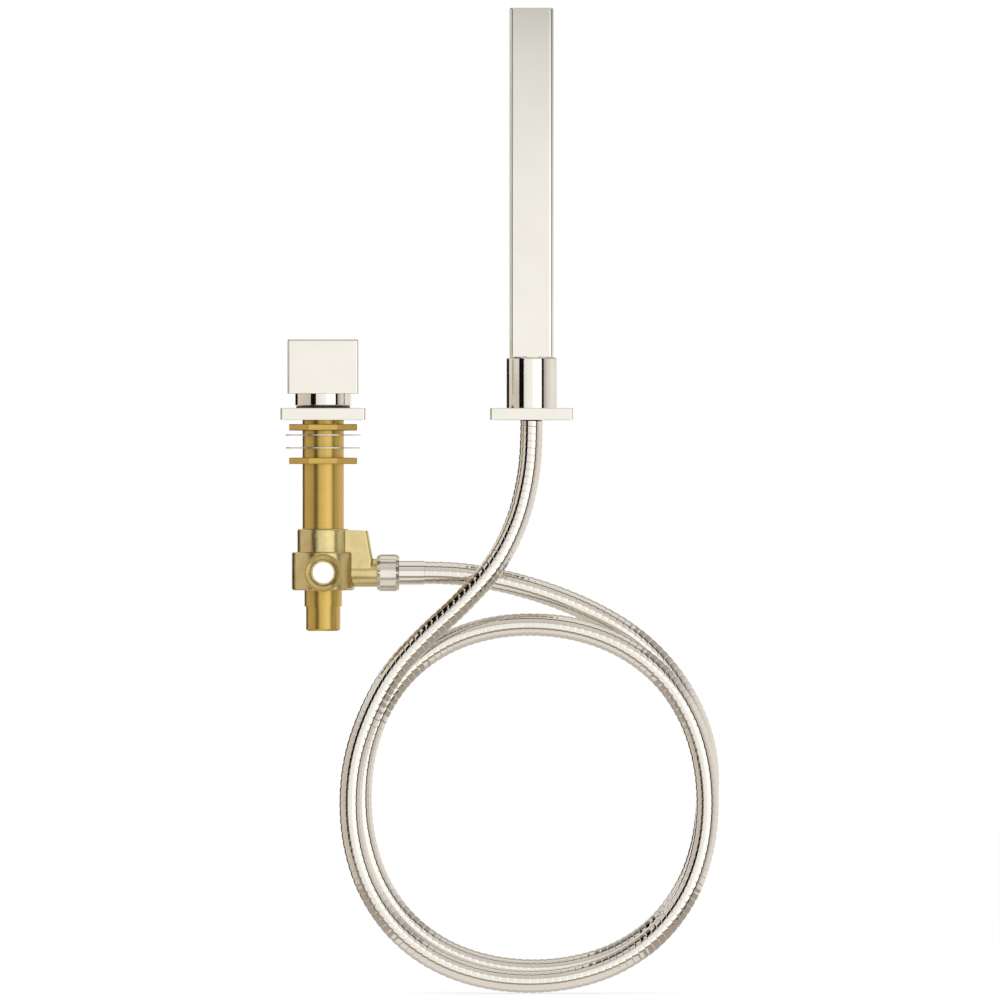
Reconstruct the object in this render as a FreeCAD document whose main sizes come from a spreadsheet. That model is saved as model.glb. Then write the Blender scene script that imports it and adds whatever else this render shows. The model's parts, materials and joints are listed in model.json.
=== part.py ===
import FreeCAD, Part
import math
import os
import Sketcher
from FreeCAD import Placement, Rotation, Vector

# Deck-mounted hand shower set: a diverter valve with a square knob, a ribbed metal hose and a
# rectangular hand shower that stands on a round holder cup.
# Frame: millimetres, +Z up, the deck's top surface at Z = 0, the valve's axis at X = Y = 0, the
# holder's axis at X = holder_x, the front of the set towards -Y.

# Each row is a name, a value in millimetres and what it measures.
SIZES = [
    ("holder_x", 127.5, "from the valve's axis to the holder's axis"),
    ("slip", 0.05, "radial clearance between pieces that slide or screw into each other"),
    ("running_gap", 0.1, "axial clearance between pieces that turn against each other"),
    ("plate_height", 7.2, "both cover plates, from the deck to their top face"),
    ("plate_wall", 2.0, "rim of the hollow cover plates"),
    ("plate_roof", 2.6, "top wall of the hollow cover plates"),
    ("plate_corner", 1.4, "rounding of the cover plates' corners"),
    ("plate_edge", 0.4, "rounding of the cover plates' upper edges"),
    ("diverter_plate_width", 52.0, "side of the square plate under the knob"),
    ("holder_plate_width", 50.8, "side of the square plate under the cup"),
    ("knob_width", 43.4, "knob across, left to right"),
    ("knob_depth", 43.4, "knob across, front to back"),
    ("knob_height", 33.3, "knob from its lower face to its top"),
    ("knob_roof", 6.0, "metal over the knob's hollow"),
    ("knob_corner", 1.4, "rounding of the knob's upright edges"),
    ("knob_edge", 1.2, "rounding of the knob's upper edges"),
    ("knob_foot_edge", 0.3, "rounding of the knob's lower edges"),
    ("knob_boss_radius", 9.5, "boss inside the knob"),
    ("skirt_radius", 17.4, "round sleeve under the knob"),
    ("skirt_bore", 14.6, "inside of the sleeve"),
    ("skirt_height", 7.4, "part of the sleeve that shows"),
    ("skirt_spigot_radius", 16.2, "part of the sleeve that is pressed into the knob"),
    ("skirt_spigot_height", 5.0, "how far the sleeve goes into the knob"),
    ("skirt_edge", 0.8, "rounding of the sleeve's lower edge"),
    ("adaptor_radius", 7.0, "insert in the knob's boss"),
    ("adaptor_height", 22.0, "length of the insert"),
    ("set_screw_radius", 2.0, "M4 grub screw"),
    ("set_screw_length", 6.5, "grub screw"),
    ("set_screw_socket", 1.1, "radius of the grub screw's socket"),
    ("set_screw_height", 12.0, "grub screw above the knob's lower face"),
    ("lock_ring_radius", 16.5, "black ring on the plate"),
    ("lock_ring_height", 1.3, "black ring on the plate"),
    ("plate_ring_section", 0.72, "section radius of the rubber ring in the plate's bore"),
    ("shank_radius", 12.7, "outside of the shank, one inch across"),
    ("shank_bore", 10.55, "inside of the shank"),
    ("shank_top", 11.0, "upper end of the shank above the deck"),
    ("shank_edge", 0.6, "chamfer at the shank's upper end"),
    ("bushing_height", 10.0, "guide in the top of the shank"),
    ("bushing_flange", 1.2, "thickness of the guide's flange"),
    ("nut_flats", 41.6, "lock nuts across flats"),
    ("nut_height", 3.9, "lock nuts"),
    ("nut_edge", 0.4, "chamfer of the lock nuts"),
    ("upper_nut_drop", 2.6, "from the deck plane down to the upper lock nut"),
    ("lower_nut_drop", 23.1, "from the deck plane down to the lower lock nut"),
    ("washer_radius", 23.05, "steel washers"),
    ("washer_bore", 12.95, "hole of the steel washers"),
    ("washer_height", 0.65, "steel washers"),
    ("upper_washer_drop", 8.9, "from the deck plane down to the upper washer"),
    ("lower_washer_drop", 16.8, "from the deck plane down to the lower washer"),
    ("port_drop", 93.5, "from the deck plane down to the valve's ports"),
    ("collar_radius", 15.9, "upper step of the casting"),
    ("collar_top", 26.9, "top of the casting above the ports"),
    ("barrel_radius", 19.3, "lower step of the casting"),
    ("barrel_top", 12.7, "shoulder of the casting above the ports"),
    ("barrel_drop", 10.8, "bottom of the casting below the ports"),
    ("casting_edge", 1.2, "rounding of the casting's steps"),
    ("boss_radius", 11.7, "round boss of the front and rear ports"),
    ("boss_reach", 21.0, "port faces in front of and behind the axis"),
    ("port_radius", 8.4, "three-eighths female ports"),
    ("port_depth", 9.6, "three-eighths female ports"),
    ("port_chamfer", 1.6, "width of the chamfer at the mouth of the ports"),
    ("port_chamfer_depth", 0.8, "depth of the chamfer at the mouth of the ports"),
    ("cross_radius", 6.5, "passage from port to port"),
    ("web_half", 8.3, "half the thickness of the side passage's web"),
    ("web_reach", 27.4, "top right corner of the web"),
    ("web_slope", 3.0, "how much further the web reaches at the hose outlet"),
    ("web_dip", 1.2, "how much lower the web is at its right corner"),
    ("web_edge", 2.4, "rounding of the web's right edges"),
    ("outlet_radius", 8.7, "neck of the hose outlet"),
    ("outlet_reach", 33.2, "end of the neck"),
    ("thread_radius", 10.4, "male half-inch threads that take the hose"),
    ("outlet_thread", 8.1, "length of the outlet's thread"),
    ("passage_radius", 3.6, "side passage to the hose"),
    ("passage_growth", 0.3, "growth of the side passage's radius from stretch to stretch"),
    ("passage_x", 19.0, "upright stretch of the side passage"),
    ("socket_floor", 19.0, "seat of the housing's flange above the ports"),
    ("chamber_radius", 10.5, "cartridge chamber"),
    ("chamber_floor", 7.9, "cartridge chamber above the ports"),
    ("floor_hole", 5.5, "way from the cross passage up to the discs"),
    ("window_rise", 15.0, "side passage's mouth above the ports"),
    ("nipple_shoulder", 11.5, "upper step of the inlet nipple"),
    ("nipple_step", 9.8, "height of the inlet nipple's upper step"),
    ("nipple_radius", 10.5, "half-inch male thread of the inlet"),
    ("nipple_length", 15.0, "half-inch male thread of the inlet"),
    ("nipple_bore", 7.5, "inlet bore"),
    ("nipple_spigot", 9.0, "radius of the nipple's end in the casting"),
    ("nipple_depth", 3.4, "how far the nipple goes into the casting"),
    ("nipple_edge", 1.0, "chamfer at the inlet's mouth"),
    ("housing_bore", 8.6, "inside of the cartridge housing"),
    ("housing_flange", 1.2, "thickness of the housing's flange"),
    ("housing_height", 25.6, "cartridge housing"),
    ("housing_roof", 3.0, "top wall of the housing"),
    ("housing_window", 2.0, "radius of the openings in the housing's side"),
    ("seal_height", 1.2, "rubber seal under the discs"),
    ("seal_bore", 6.9, "rubber seal under the discs"),
    ("disc_radius", 8.2, "ceramic discs"),
    ("disc_height", 2.2, "ceramic discs"),
    ("disc_gap", 0.05, "water film between the discs"),
    ("disc_port", 2.3, "radius of the holes in the discs"),
    ("disc_port_offset", 4.6, "holes in the discs from the axis"),
    ("slot_width", 3.2, "slot in the moving disc"),
    ("slot_length", 12.0, "slot in the moving disc"),
    ("slot_depth", 1.2, "slot in the moving disc"),
    ("housing_ring_section", 0.5, "section radius of the housing's rubber ring"),
    ("housing_ring_rise", 2.6, "housing's rubber ring above the chamber's floor"),
    ("spindle_radius", 3.95, "long stem"),
    ("spindle_flange", 6.5, "collar on the stem under the housing's roof"),
    ("spindle_flange_height", 2.5, "collar on the stem"),
    ("spindle_ring_section", 0.45, "section radius of the stem's rubber ring"),
    ("hose_nut_radius", 11.45, "fluted nut on the outlet"),
    ("hose_nut_length", 13.55, "fluted nut on the outlet"),
    ("hose_nut_edge", 1.0, "chamfer of the fluted nut"),
    ("hose_nut_gap", 0.3, "from the neck's end to the fluted nut"),
    ("flute_width", 0.9, "grooves of the fluted nut"),
    ("flute_depth", 0.7, "grooves of the fluted nut"),
    ("hose_washer_height", 1.8, "rubber washers at both ends of the hose"),
    ("hose_washer_bore", 5.0, "rubber washers at both ends of the hose"),
    ("tail_flange", 1.7, "flange of the hose tails"),
    ("tail_radius", 4.1, "outside of the hose tails"),
    ("tail_bore", 3.0, "inside of the hose tails"),
    ("tail_reach", 10.0, "how far the tails go into the hose"),
    ("ferrule_radius", 7.4, "polished ferrules"),
    ("ferrule_length", 17.0, "polished ferrules"),
    ("hose_radius", 7.05, "crest of the hose's ribs"),
    ("hose_relief", 0.4, "depth of the grooves between the ribs"),
    ("hose_bore", 4.2, "bore of the hose"),
    ("cup_radius", 15.75, "holder cup"),
    ("cup_top", 38.4, "rim of the holder cup above the deck"),
    ("cup_wall", 1.5, "wall of the holder cup"),
    ("cup_floor", 1.6, "floor of the holder cup"),
    ("cup_edge", 1.3, "rounding of the cup's rim"),
    ("neck_radius", 13.5, "threaded neck of the cup in the plate"),
    ("neck_bore", 11.0, "hole through the cup's floor and neck"),
    ("neck_drop", 6.0, "length of the cup's neck"),
    ("ring_nut_radius", 20.0, "thin nut on the cup's neck"),
    ("ring_nut_height", 3.1, "thin nut on the cup's neck"),
    ("gasket_width", 2.2, "square seal in the holder plate"),
    ("liner_bore", 12.6, "inside of the plastic bush"),
    ("liner_seat_bore", 9.2, "narrow end of the plastic bush"),
    ("liner_drop", 0.8, "bush below the cup's rim"),
    ("liner_cone_top", 23.6, "upper end of the bush's cone above the deck"),
    ("liner_cone_foot", 15.2, "lower end of the bush's cone above the deck"),
    ("handset_lift_gap", 0.3, "from the cup's rim up to the hand shower"),
    ("handset_width", 26.9, "hand shower, left to right"),
    ("handset_depth", 22.2, "hand shower, front to back"),
    ("handset_length", 213.4, "hand shower with its cap, without its spigot"),
    ("handset_wall", 1.8, "wall of the hand shower's tube"),
    ("handset_edge", 2.6, "rounding of the hand shower's upright edges"),
    ("cap_height", 3.6, "top cap"),
    ("cap_edge", 1.0, "rounding of the top cap's edge"),
    ("cap_spigot", 5.0, "part of the top cap in the tube"),
    ("key_width", 2.2, "index key at the foot of the hand shower"),
    ("key_height", 2.9, "index key at the foot of the hand shower"),
    ("plug_height", 12.0, "base plug in the tube"),
    ("spigot_length", 14.7, "threaded spigot below the hand shower"),
    ("spigot_bore", 6.05, "bore of the threaded spigot"),
    ("spigot_bore_top", 3.3, "top of the wide bore above the hand shower's foot"),
    ("check_valve_height", 10.0, "non-return cartridge"),
    ("check_valve_bore", 3.6, "non-return cartridge"),
    ("restrictor_height", 2.0, "flow restrictor"),
    ("restrictor_bore", 1.5, "flow restrictor"),
    ("water_tube_radius", 5.0, "pipe up the hand shower"),
    ("water_tube_bore", 4.0, "pipe up the hand shower"),
    ("base_seal_radius", 6.6, "seal round the pipe's foot"),
    ("base_seal_height", 2.0, "seal round the pipe's foot"),
    ("manifold_gap", 0.8, "from the spray box up to the top cap"),
    ("manifold_height", 66.0, "spray box"),
    ("manifold_depth", 17.3, "spray box, front to back"),
    ("manifold_wall", 1.5, "spray box"),
    ("manifold_rim", 3.6, "rim of the spray box round its opening"),
    ("spray_width", 18.0, "spray plate"),
    ("spray_inset", 2.1, "from the ends of the spray box to the spray plate"),
    ("spray_gap", 0.1, "clearance round the spray plate"),
    ("nozzle_radius", 0.95, "foot of the soft nozzles"),
    ("nozzle_length", 2.7, "soft nozzles above their mat"),
    ("nozzle_mat", 0.8, "thickness of the nozzle mat"),
    ("nozzle_pitch_across", 4.8, "soft nozzles, left to right"),
    ("nozzle_pitch_up", 5.0, "soft nozzles, upwards"),
    ("handset_nut_radius", 12.0, "conical nut"),
    ("handset_nut_end", 8.6, "narrow end of the conical nut"),
    ("handset_nut_grip", 10.0, "conical nut above the spigot's end"),
    ("handset_nut_straight", 11.0, "straight part of the conical nut"),
    ("handset_nut_length", 18.9, "conical nut"),
]

HALF_OCTAGON = math.tan(math.radians(22.5))
FLUTES = 16
NOZZLES_ACROSS = 3
NOZZLES_UP = 11

document = FreeCAD.newDocument("HandShowerSet")
sheet = document.addObject("Spreadsheet::Sheet", "Sizes")
parts = []


class Size:
    """A length with the expression that it comes from, so that sums keep both."""

    def __init__(self, value, text):
        self.value = value
        self.text = text

    def joined(self, sign, other, value):
        return Size(value, "(%s %s %s)" % (self.text, sign, size(other).text))

    def __add__(self, other):
        return self.joined("+", other, self.value + size(other).value)

    def __sub__(self, other):
        return self.joined("-", other, self.value - size(other).value)

    def __mul__(self, other):
        return self.joined("*", other, self.value * size(other).value)

    def __truediv__(self, other):
        return self.joined("/", other, self.value / size(other).value)

    def __neg__(self):
        return Size(-self.value, "(0 - %s)" % self.text)


def size(thing):
    """A plain number as a size, and a size as itself."""
    if isinstance(thing, Size):
        return thing
    return Size(float(thing), "%.9g" % thing)


class Names:
    """The sheet's sizes by name."""


def fill_sheet():
    names = Names()
    for row, (alias, value, meaning) in enumerate(SIZES, start=1):
        cell = "A%d" % row
        sheet.set(cell, str(value))
        sheet.setAlias(cell, alias)
        sheet.set("B%d" % row, "'" + meaning)
        setattr(names, alias, Size(value, "Sizes." + alias))
    document.recompute()
    return names


S = fill_sheet()

# Heights above the deck that several pieces share.
ZERO = size(0)
PORT_Z = -S.port_drop
LOCK_RING_TOP = S.plate_height + S.lock_ring_height
SKIRT_FOOT = LOCK_RING_TOP + S.running_gap
KNOB_FOOT = SKIRT_FOOT + S.skirt_height
CAVITY_TOP = S.plate_height - S.plate_roof
CHAMBER_FLOOR = PORT_Z + S.chamber_floor
SOCKET_FLOOR = PORT_Z + S.socket_floor
SHANK_FOOT = SOCKET_FLOOR + S.housing_flange
HOUSING_TOP = CHAMBER_FLOOR + S.housing_height
HOUSING_ROOF = HOUSING_TOP - S.housing_roof
FIXED_DISC_FOOT = CHAMBER_FLOOR + S.seal_height
MOVING_DISC_FOOT = FIXED_DISC_FOOT + S.disc_height + S.disc_gap
MOVING_DISC_TOP = MOVING_DISC_FOOT + S.disc_height
CASTING_FOOT = PORT_Z - S.barrel_drop
HANDSET_FOOT = S.cup_top + S.handset_lift_gap
HANDSET_TUBE = S.handset_length - S.cap_height
MANIFOLD_FOOT = HANDSET_TUBE - S.cap_spigot - S.manifold_gap - S.manifold_height
SPRAY_HEIGHT = S.manifold_height - S.spray_inset * 2
SPIGOT_END = HANDSET_FOOT - S.spigot_length
HOSE_NUT_X = S.outlet_reach - S.hose_nut_gap + S.slip
OUTLET_END_X = S.outlet_reach + S.outlet_thread


def bind(thing, path, wanted):
    """Set a property from a size, and tie it to the sheet if the size comes from there."""
    wanted = size(wanted)
    if "Sizes." in wanted.text:
        thing.setExpression(path, wanted.text)
    elif hasattr(thing, path):
        setattr(thing, path, wanted.value)


def bind_place(thing, x=0, y=0, z=0, turn=None):
    """Place an object, with each coordinate tied to the sheet."""
    places = [size(x), size(y), size(z)]
    base = Vector(*[place.value for place in places])
    thing.Placement = Placement(base, turn or Rotation())
    for axis, place in zip("xyz", places):
        if "Sizes." in place.text:
            thing.setExpression("Placement.Base." + axis, place.text)


def new_body(label):
    body = document.addObject("PartDesign::Body", label)
    body.Label = label
    parts.append(body)
    return body


def new_sketch(body, role, height=0):
    """A sketch on one of the body's own origin planes, moved off it by a height along its normal."""
    sketch = body.newObject("Sketcher::SketchObject", body.Name + "_sketch")
    planes = [plane for plane in body.Origin.OriginFeatures if plane.Role == role]
    sketch.AttachmentSupport = [(planes[0], "")]
    sketch.MapMode = "FlatFace"
    height = size(height)
    sketch.AttachmentOffset = Placement(Vector(0, 0, height.value), Rotation())
    if "Sizes." in height.text:
        sketch.setExpression("AttachmentOffset.Base.z", height.text)
    return sketch


def tie_point(sketch, shape, end, x, y):
    """Hold a point of a sketch at x, y from the sketch's origin."""
    for kind, place in (("DistanceX", size(x)), ("DistanceY", size(y))):
        rule = Sketcher.Constraint(kind, -1, 1, shape, end, place.value)
        number = sketch.addConstraint(rule)
        name = "%s_%d_%d" % (kind, shape, end)
        sketch.renameConstraint(number, name)
        if "Sizes." in place.text:
            sketch.setExpression("Constraints." + name, place.text)


def draw_outline(sketch, points):
    """A closed outline of straight lines through the points, each tied to the sheet."""
    first = sketch.GeometryCount
    corners = [Vector(size(x).value, size(y).value, 0) for x, y in points]
    count = len(points)
    for i in range(count):
        sketch.addGeometry(Part.LineSegment(corners[i], corners[(i + 1) % count]))
    for i in range(count):
        following = first + (i + 1) % count
        sketch.addConstraint(Sketcher.Constraint("Coincident", first + i, 2, following, 1))
    for i, (x, y) in enumerate(points):
        tie_point(sketch, first + i, 1, x, y)
    return sketch


def draw_rectangle(sketch, width, height, x=0, y=0):
    """A rectangle centred on x, y."""
    x, y = size(x), size(y)
    left, right = x - size(width) / 2, x + size(width) / 2
    low, high = y - size(height) / 2, y + size(height) / 2
    return draw_outline(sketch, [(left, low), (right, low), (right, high), (left, high)])


def draw_circle(sketch, radius, x=0, y=0):
    x, y, radius = size(x), size(y), size(radius)
    centre = Vector(x.value, y.value, 0)
    shape = sketch.addGeometry(Part.Circle(centre, Vector(0, 0, 1), radius.value))
    number = sketch.addConstraint(Sketcher.Constraint("Radius", shape, radius.value))
    name = "Radius_%d" % shape
    sketch.renameConstraint(number, name)
    if "Sizes." in radius.text:
        sketch.setExpression("Constraints." + name, radius.text)
    tie_point(sketch, shape, 3, x, y)
    return sketch


def revolve(body, outline, kind="PartDesign::Revolution", role="XZ_Plane", axis="V_Axis"):
    """Turn an outline of (radius, height) points round an axis of the body."""
    sketch = draw_outline(new_sketch(body, role), outline)
    before = volume(body)
    feature = body.newObject(kind, body.Name + "_turned")
    feature.Profile = sketch
    feature.ReferenceAxis = (sketch, [axis])
    feature.Angle = 360
    settle(body, before, kind)
    return feature


def pad(body, sketch, length, symmetric=False, backwards=False):
    return push(body, "PartDesign::Pad", sketch, length, symmetric, backwards)


def pocket(body, sketch, length, symmetric=False, backwards=False):
    return push(body, "PartDesign::Pocket", sketch, length, symmetric, backwards)


def push(body, kind, sketch, length, symmetric, backwards):
    before = volume(body)
    feature = body.newObject(kind, body.Name + "_" + kind.split("::")[1].lower())
    feature.Profile = sketch
    feature.Length = size(length).value
    bind(feature, "Length", length)
    feature.SideType = "Symmetric" if symmetric else "One side"
    feature.Reversed = backwards
    settle(body, before, kind)
    return feature


def volume(body):
    return 0.0 if body.Shape.isNull() else body.Shape.Volume


def settle(body, before, kind):
    """Rebuild, and make sure that the last feature added or took material as it should."""
    document.recompute()
    change = volume(body) - before
    takes = kind in ("PartDesign::Pocket", "PartDesign::Groove")
    if (change >= -1e-6) if takes else (change <= 1e-6):
        raise RuntimeError("%s: a %s changed nothing" % (body.Label, kind))


def soften(body, kind, reach, chosen):
    """Round or chamfer the edges that a test picks on the body's last feature."""
    base = body.Tip
    edges = ["Edge%d" % (i + 1) for i, edge in enumerate(base.Shape.Edges) if chosen(edge)]
    if not edges:
        raise RuntimeError("%s: no edge to soften" % body.Label)
    feature = body.newObject(kind, body.Name + "_soft")
    feature.Base = (base, edges)
    path = "Radius" if kind == "PartDesign::Fillet" else "Size"
    setattr(feature, path, size(reach).value)
    bind(feature, path, reach)
    document.recompute()
    return feature


def round_edges(body, reach, chosen):
    return soften(body, "PartDesign::Fillet", reach, chosen)


def chamfer_edges(body, reach, chosen):
    return soften(body, "PartDesign::Chamfer", reach, chosen)


NEAR = 1e-4


def same(a, b):
    return abs(a - size(b).value) < NEAR


def is_upright(edge):
    """Whether an edge is a straight line along Z."""
    box = edge.BoundBox
    return box.XLength < NEAR and box.YLength < NEAR and box.ZLength > NEAR


def is_level(edge, height):
    """Whether an edge lies at one height."""
    box = edge.BoundBox
    return same(box.ZMin, height) and same(box.ZMax, height)


def turned(label, outline, x=0, y=0, z=0, turn=None):
    """A piece turned on a lathe: its outline is a list of (radius, height) points."""
    body = new_body(label)
    revolve(body, outline)
    bind_place(body, x, y, z, turn)
    return body


def tube_outline(inner, outer, low, high):
    return [(inner, low), (outer, low), (outer, high), (inner, high)]


def rubber_ring(label, centre_radius, section, z, x=0):
    ring = document.addObject("Part::Torus", label)
    ring.Label = label
    bind(ring, "Radius1", centre_radius)
    bind(ring, "Radius2", section)
    bind_place(ring, x, 0, z)
    parts.append(ring)
    return ring


ALONG_X = Rotation(Vector(0, 1, 0), 90)
ALONG_Y = Rotation(Vector(1, 0, 0), -90)
DOWNWARDS = Rotation(Vector(1, 0, 0), 180)


# Cover plates

def cover_plate(label, width, bore, x):
    """A hollow square plate whose rim stands on the deck."""
    body = new_body(label)
    pad(body, draw_rectangle(new_sketch(body, "XY_Plane"), width, width), S.plate_height)
    round_edges(body, S.plate_corner, is_upright)
    round_edges(body, S.plate_edge, lambda edge: is_level(edge, S.plate_height))
    inside = width - S.plate_wall * 2
    cavity = draw_rectangle(new_sketch(body, "XY_Plane"), inside, inside)
    pocket(body, cavity, CAVITY_TOP, backwards=True)
    hole = draw_circle(new_sketch(body, "XY_Plane"), bore)
    pocket(body, hole, S.plate_height, backwards=True)
    bind_place(body, x)
    return body


def plate_ring_groove(body, bore):
    """The groove in the diverter plate's bore that holds its rubber ring."""
    middle = S.plate_height - S.plate_roof / 2
    half = S.plate_ring_section + S.slip
    floor = bore + S.plate_ring_section * 2
    groove = [
        (S.shank_radius, middle - half),
        (floor, middle - half),
        (floor, middle + half),
        (S.shank_radius, middle + half),
    ]
    revolve(body, groove, "PartDesign::Groove")
    centre = S.shank_radius + S.slip + S.plate_ring_section
    rubber_ring("plate_o_ring", centre, S.plate_ring_section, middle)


def make_diverter_plate():
    bore = S.shank_radius + S.slip * 2
    body = cover_plate("diverter_plate", S.diverter_plate_width, bore, 0)
    plate_ring_groove(body, bore)
    ring = tube_outline(S.shank_radius + S.slip, S.lock_ring_radius, S.plate_height, LOCK_RING_TOP)
    turned("plate_lock_ring", ring)


# Diverter knob and what turns with it

def make_knob():
    body = new_body("diverter_knob")
    block = draw_rectangle(new_sketch(body, "XY_Plane"), S.knob_width, S.knob_depth)
    pad(body, block, S.knob_height)
    round_edges(body, S.knob_corner, is_upright)
    round_edges(body, S.knob_edge, lambda edge: is_level(edge, S.knob_height))
    round_edges(body, S.knob_foot_edge, lambda edge: is_level(edge, 0))
    hollow = new_sketch(body, "XY_Plane")
    draw_circle(hollow, S.skirt_spigot_radius + S.slip)
    draw_circle(hollow, S.knob_boss_radius)
    depth = S.knob_height - S.knob_roof
    pocket(body, hollow, depth, backwards=True)
    bore = draw_circle(new_sketch(body, "XY_Plane"), S.adaptor_radius + S.slip)
    pocket(body, bore, depth, backwards=True)
    hole = new_sketch(body, "XZ_Plane")
    draw_circle(hole, S.set_screw_radius + S.slip, 0, S.set_screw_height)
    pocket(body, hole, S.knob_depth)
    bind_place(body, 0, 0, KNOB_FOOT)


def make_skirt():
    spigot_top = KNOB_FOOT + S.skirt_spigot_height
    outline = [
        (S.skirt_bore, SKIRT_FOOT),
        (S.skirt_radius, SKIRT_FOOT),
        (S.skirt_radius, KNOB_FOOT),
        (S.skirt_spigot_radius, KNOB_FOOT),
        (S.skirt_spigot_radius, spigot_top),
        (S.skirt_bore, spigot_top),
    ]
    skirt = turned("knob_skirt", outline)
    round_edges(
        skirt,
        S.skirt_edge,
        lambda edge: is_level(edge, SKIRT_FOOT) and is_ring(edge, S.skirt_radius),
    )


def make_adaptor():
    foot = KNOB_FOOT + S.slip
    top = foot + S.adaptor_height
    bore = S.spindle_radius + S.slip
    bore_top = top - S.knob_roof / 2
    outline = [
        (bore, foot),
        (S.adaptor_radius, foot),
        (S.adaptor_radius, top),
        (ZERO, top),
        (ZERO, bore_top),
        (bore, bore_top),
    ]
    turned("knob_adaptor", outline)


def make_set_screw():
    socket_floor = S.set_screw_length - S.set_screw_radius
    outline = [
        (ZERO, ZERO),
        (S.set_screw_radius, ZERO),
        (S.set_screw_radius, S.set_screw_length),
        (S.set_screw_socket, S.set_screw_length),
        (S.set_screw_socket, socket_floor),
        (ZERO, socket_floor),
    ]
    y = S.adaptor_radius + S.slip
    turned("knob_set_screw", outline, 0, y, KNOB_FOOT + S.set_screw_height, ALONG_Y)


def make_spindle():
    """The stem: a tongue in the moving disc's slot, a collar, a groove and a long plain rod."""
    body = new_body("spindle")
    foot = MOVING_DISC_TOP + S.disc_gap
    collar_top = HOUSING_ROOF - S.running_gap
    collar_foot = collar_top - S.spindle_flange_height
    ring_z = HOUSING_ROOF + S.housing_roof / 2
    groove_half = S.spindle_ring_section + S.slip
    groove_floor = S.spindle_radius - S.spindle_ring_section * 2
    top = KNOB_FOOT + S.adaptor_height - S.knob_roof
    outline = [
        (ZERO, foot),
        (S.spindle_radius, foot),
        (S.spindle_radius, collar_foot),
        (S.spindle_flange, collar_foot),
        (S.spindle_flange, collar_top),
        (S.spindle_radius, collar_top),
        (S.spindle_radius, ring_z - groove_half),
        (groove_floor, ring_z - groove_half),
        (groove_floor, ring_z + groove_half),
        (S.spindle_radius, ring_z + groove_half),
        (S.spindle_radius, top),
        (ZERO, top),
    ]
    revolve(body, outline)
    tongue = new_sketch(body, "XY_Plane", foot)
    draw_rectangle(tongue, S.slot_width - S.slip * 2, S.slot_length - S.slip * 2)
    pad(body, tongue, S.slot_depth - S.slip, backwards=True)
    centre = groove_floor + S.spindle_ring_section
    rubber_ring("spindle_o_ring", centre, S.spindle_ring_section, ring_z)


# Cartridge

def disc_with_ports(label, foot):
    body = new_body(label)
    blank = new_sketch(body, "XY_Plane", foot)
    draw_circle(blank, S.disc_radius)
    draw_circle(blank, S.disc_port, S.disc_port_offset, 0)
    draw_circle(blank, S.disc_port, -S.disc_port_offset, 0)
    pad(body, blank, S.disc_height)
    return body


def make_discs():
    disc_with_ports("fixed_disc", FIXED_DISC_FOOT)
    moving = disc_with_ports("moving_disc", MOVING_DISC_FOOT)
    slot = new_sketch(moving, "XY_Plane", MOVING_DISC_TOP)
    draw_rectangle(slot, S.slot_width, S.slot_length)
    pocket(moving, slot, S.slot_depth)
    seal = tube_outline(S.seal_bore, S.disc_radius, CHAMBER_FLOOR, FIXED_DISC_FOOT)
    turned("disc_seal", seal)


def make_housing():
    body = new_body("cartridge_housing")
    outer = S.chamber_radius - S.slip
    ring_z = CHAMBER_FLOOR + S.housing_ring_rise
    groove_half = S.housing_ring_section + S.slip
    groove_floor = outer - S.housing_ring_section * 2
    outline = [
        (S.housing_bore, CHAMBER_FLOOR),
        (outer, CHAMBER_FLOOR),
        (outer, ring_z - groove_half),
        (groove_floor, ring_z - groove_half),
        (groove_floor, ring_z + groove_half),
        (outer, ring_z + groove_half),
        (outer, SOCKET_FLOOR),
        (S.shank_radius, SOCKET_FLOOR),
        (S.shank_radius, SHANK_FOOT),
        (outer, SHANK_FOOT),
        (outer, HOUSING_TOP),
        (S.spindle_radius + S.slip, HOUSING_TOP),
        (S.spindle_radius + S.slip, HOUSING_ROOF),
        (S.housing_bore, HOUSING_ROOF),
    ]
    revolve(body, outline)
    for role in ("XZ_Plane", "YZ_Plane"):
        window = draw_circle(new_sketch(body, role), S.housing_window, 0, PORT_Z + S.window_rise)
        pocket(body, window, S.shank_radius * 2, symmetric=True)
    centre = groove_floor + S.housing_ring_section
    rubber_ring("cartridge_o_ring", centre, S.housing_ring_section, ring_z)


# Shank, nuts and washers

def make_shank():
    outline = [
        (S.shank_bore, SHANK_FOOT),
        (S.shank_radius, SHANK_FOOT),
        (S.shank_radius, S.shank_top - S.shank_edge),
        (S.shank_radius - S.shank_edge, S.shank_top),
        (S.shank_bore, S.shank_top),
    ]
    turned("threaded_shank", outline)
    flange_top = S.shank_top + S.bushing_flange
    bushing = [
        (S.spindle_radius + S.slip, S.shank_top - S.bushing_height),
        (S.shank_bore - S.slip, S.shank_top - S.bushing_height),
        (S.shank_bore - S.slip, S.shank_top),
        (S.shank_radius - S.shank_edge, S.shank_top),
        (S.shank_radius - S.shank_edge, flange_top),
        (S.spindle_radius + S.slip, flange_top),
    ]
    turned("spindle_bushing", bushing)


def make_lock_nut(label, drop):
    """An octagonal nut round the shank, its upper face at a depth below the deck plane."""
    body = new_body(label)
    flat = S.nut_flats / 2
    corner = flat * HALF_OCTAGON
    octagon = [
        (corner, -flat),
        (flat, -corner),
        (flat, corner),
        (corner, flat),
        (-corner, flat),
        (-flat, corner),
        (-flat, -corner),
        (-corner, -flat),
    ]
    blank = draw_outline(new_sketch(body, "XY_Plane", -(drop + S.nut_height)), octagon)
    pad(body, blank, S.nut_height)
    chamfer_edges(body, S.nut_edge, lambda edge: edge.BoundBox.ZLength < NEAR)
    bore = draw_circle(new_sketch(body, "XY_Plane", -drop), S.shank_radius + S.slip)
    pocket(body, bore, S.nut_height)


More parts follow.
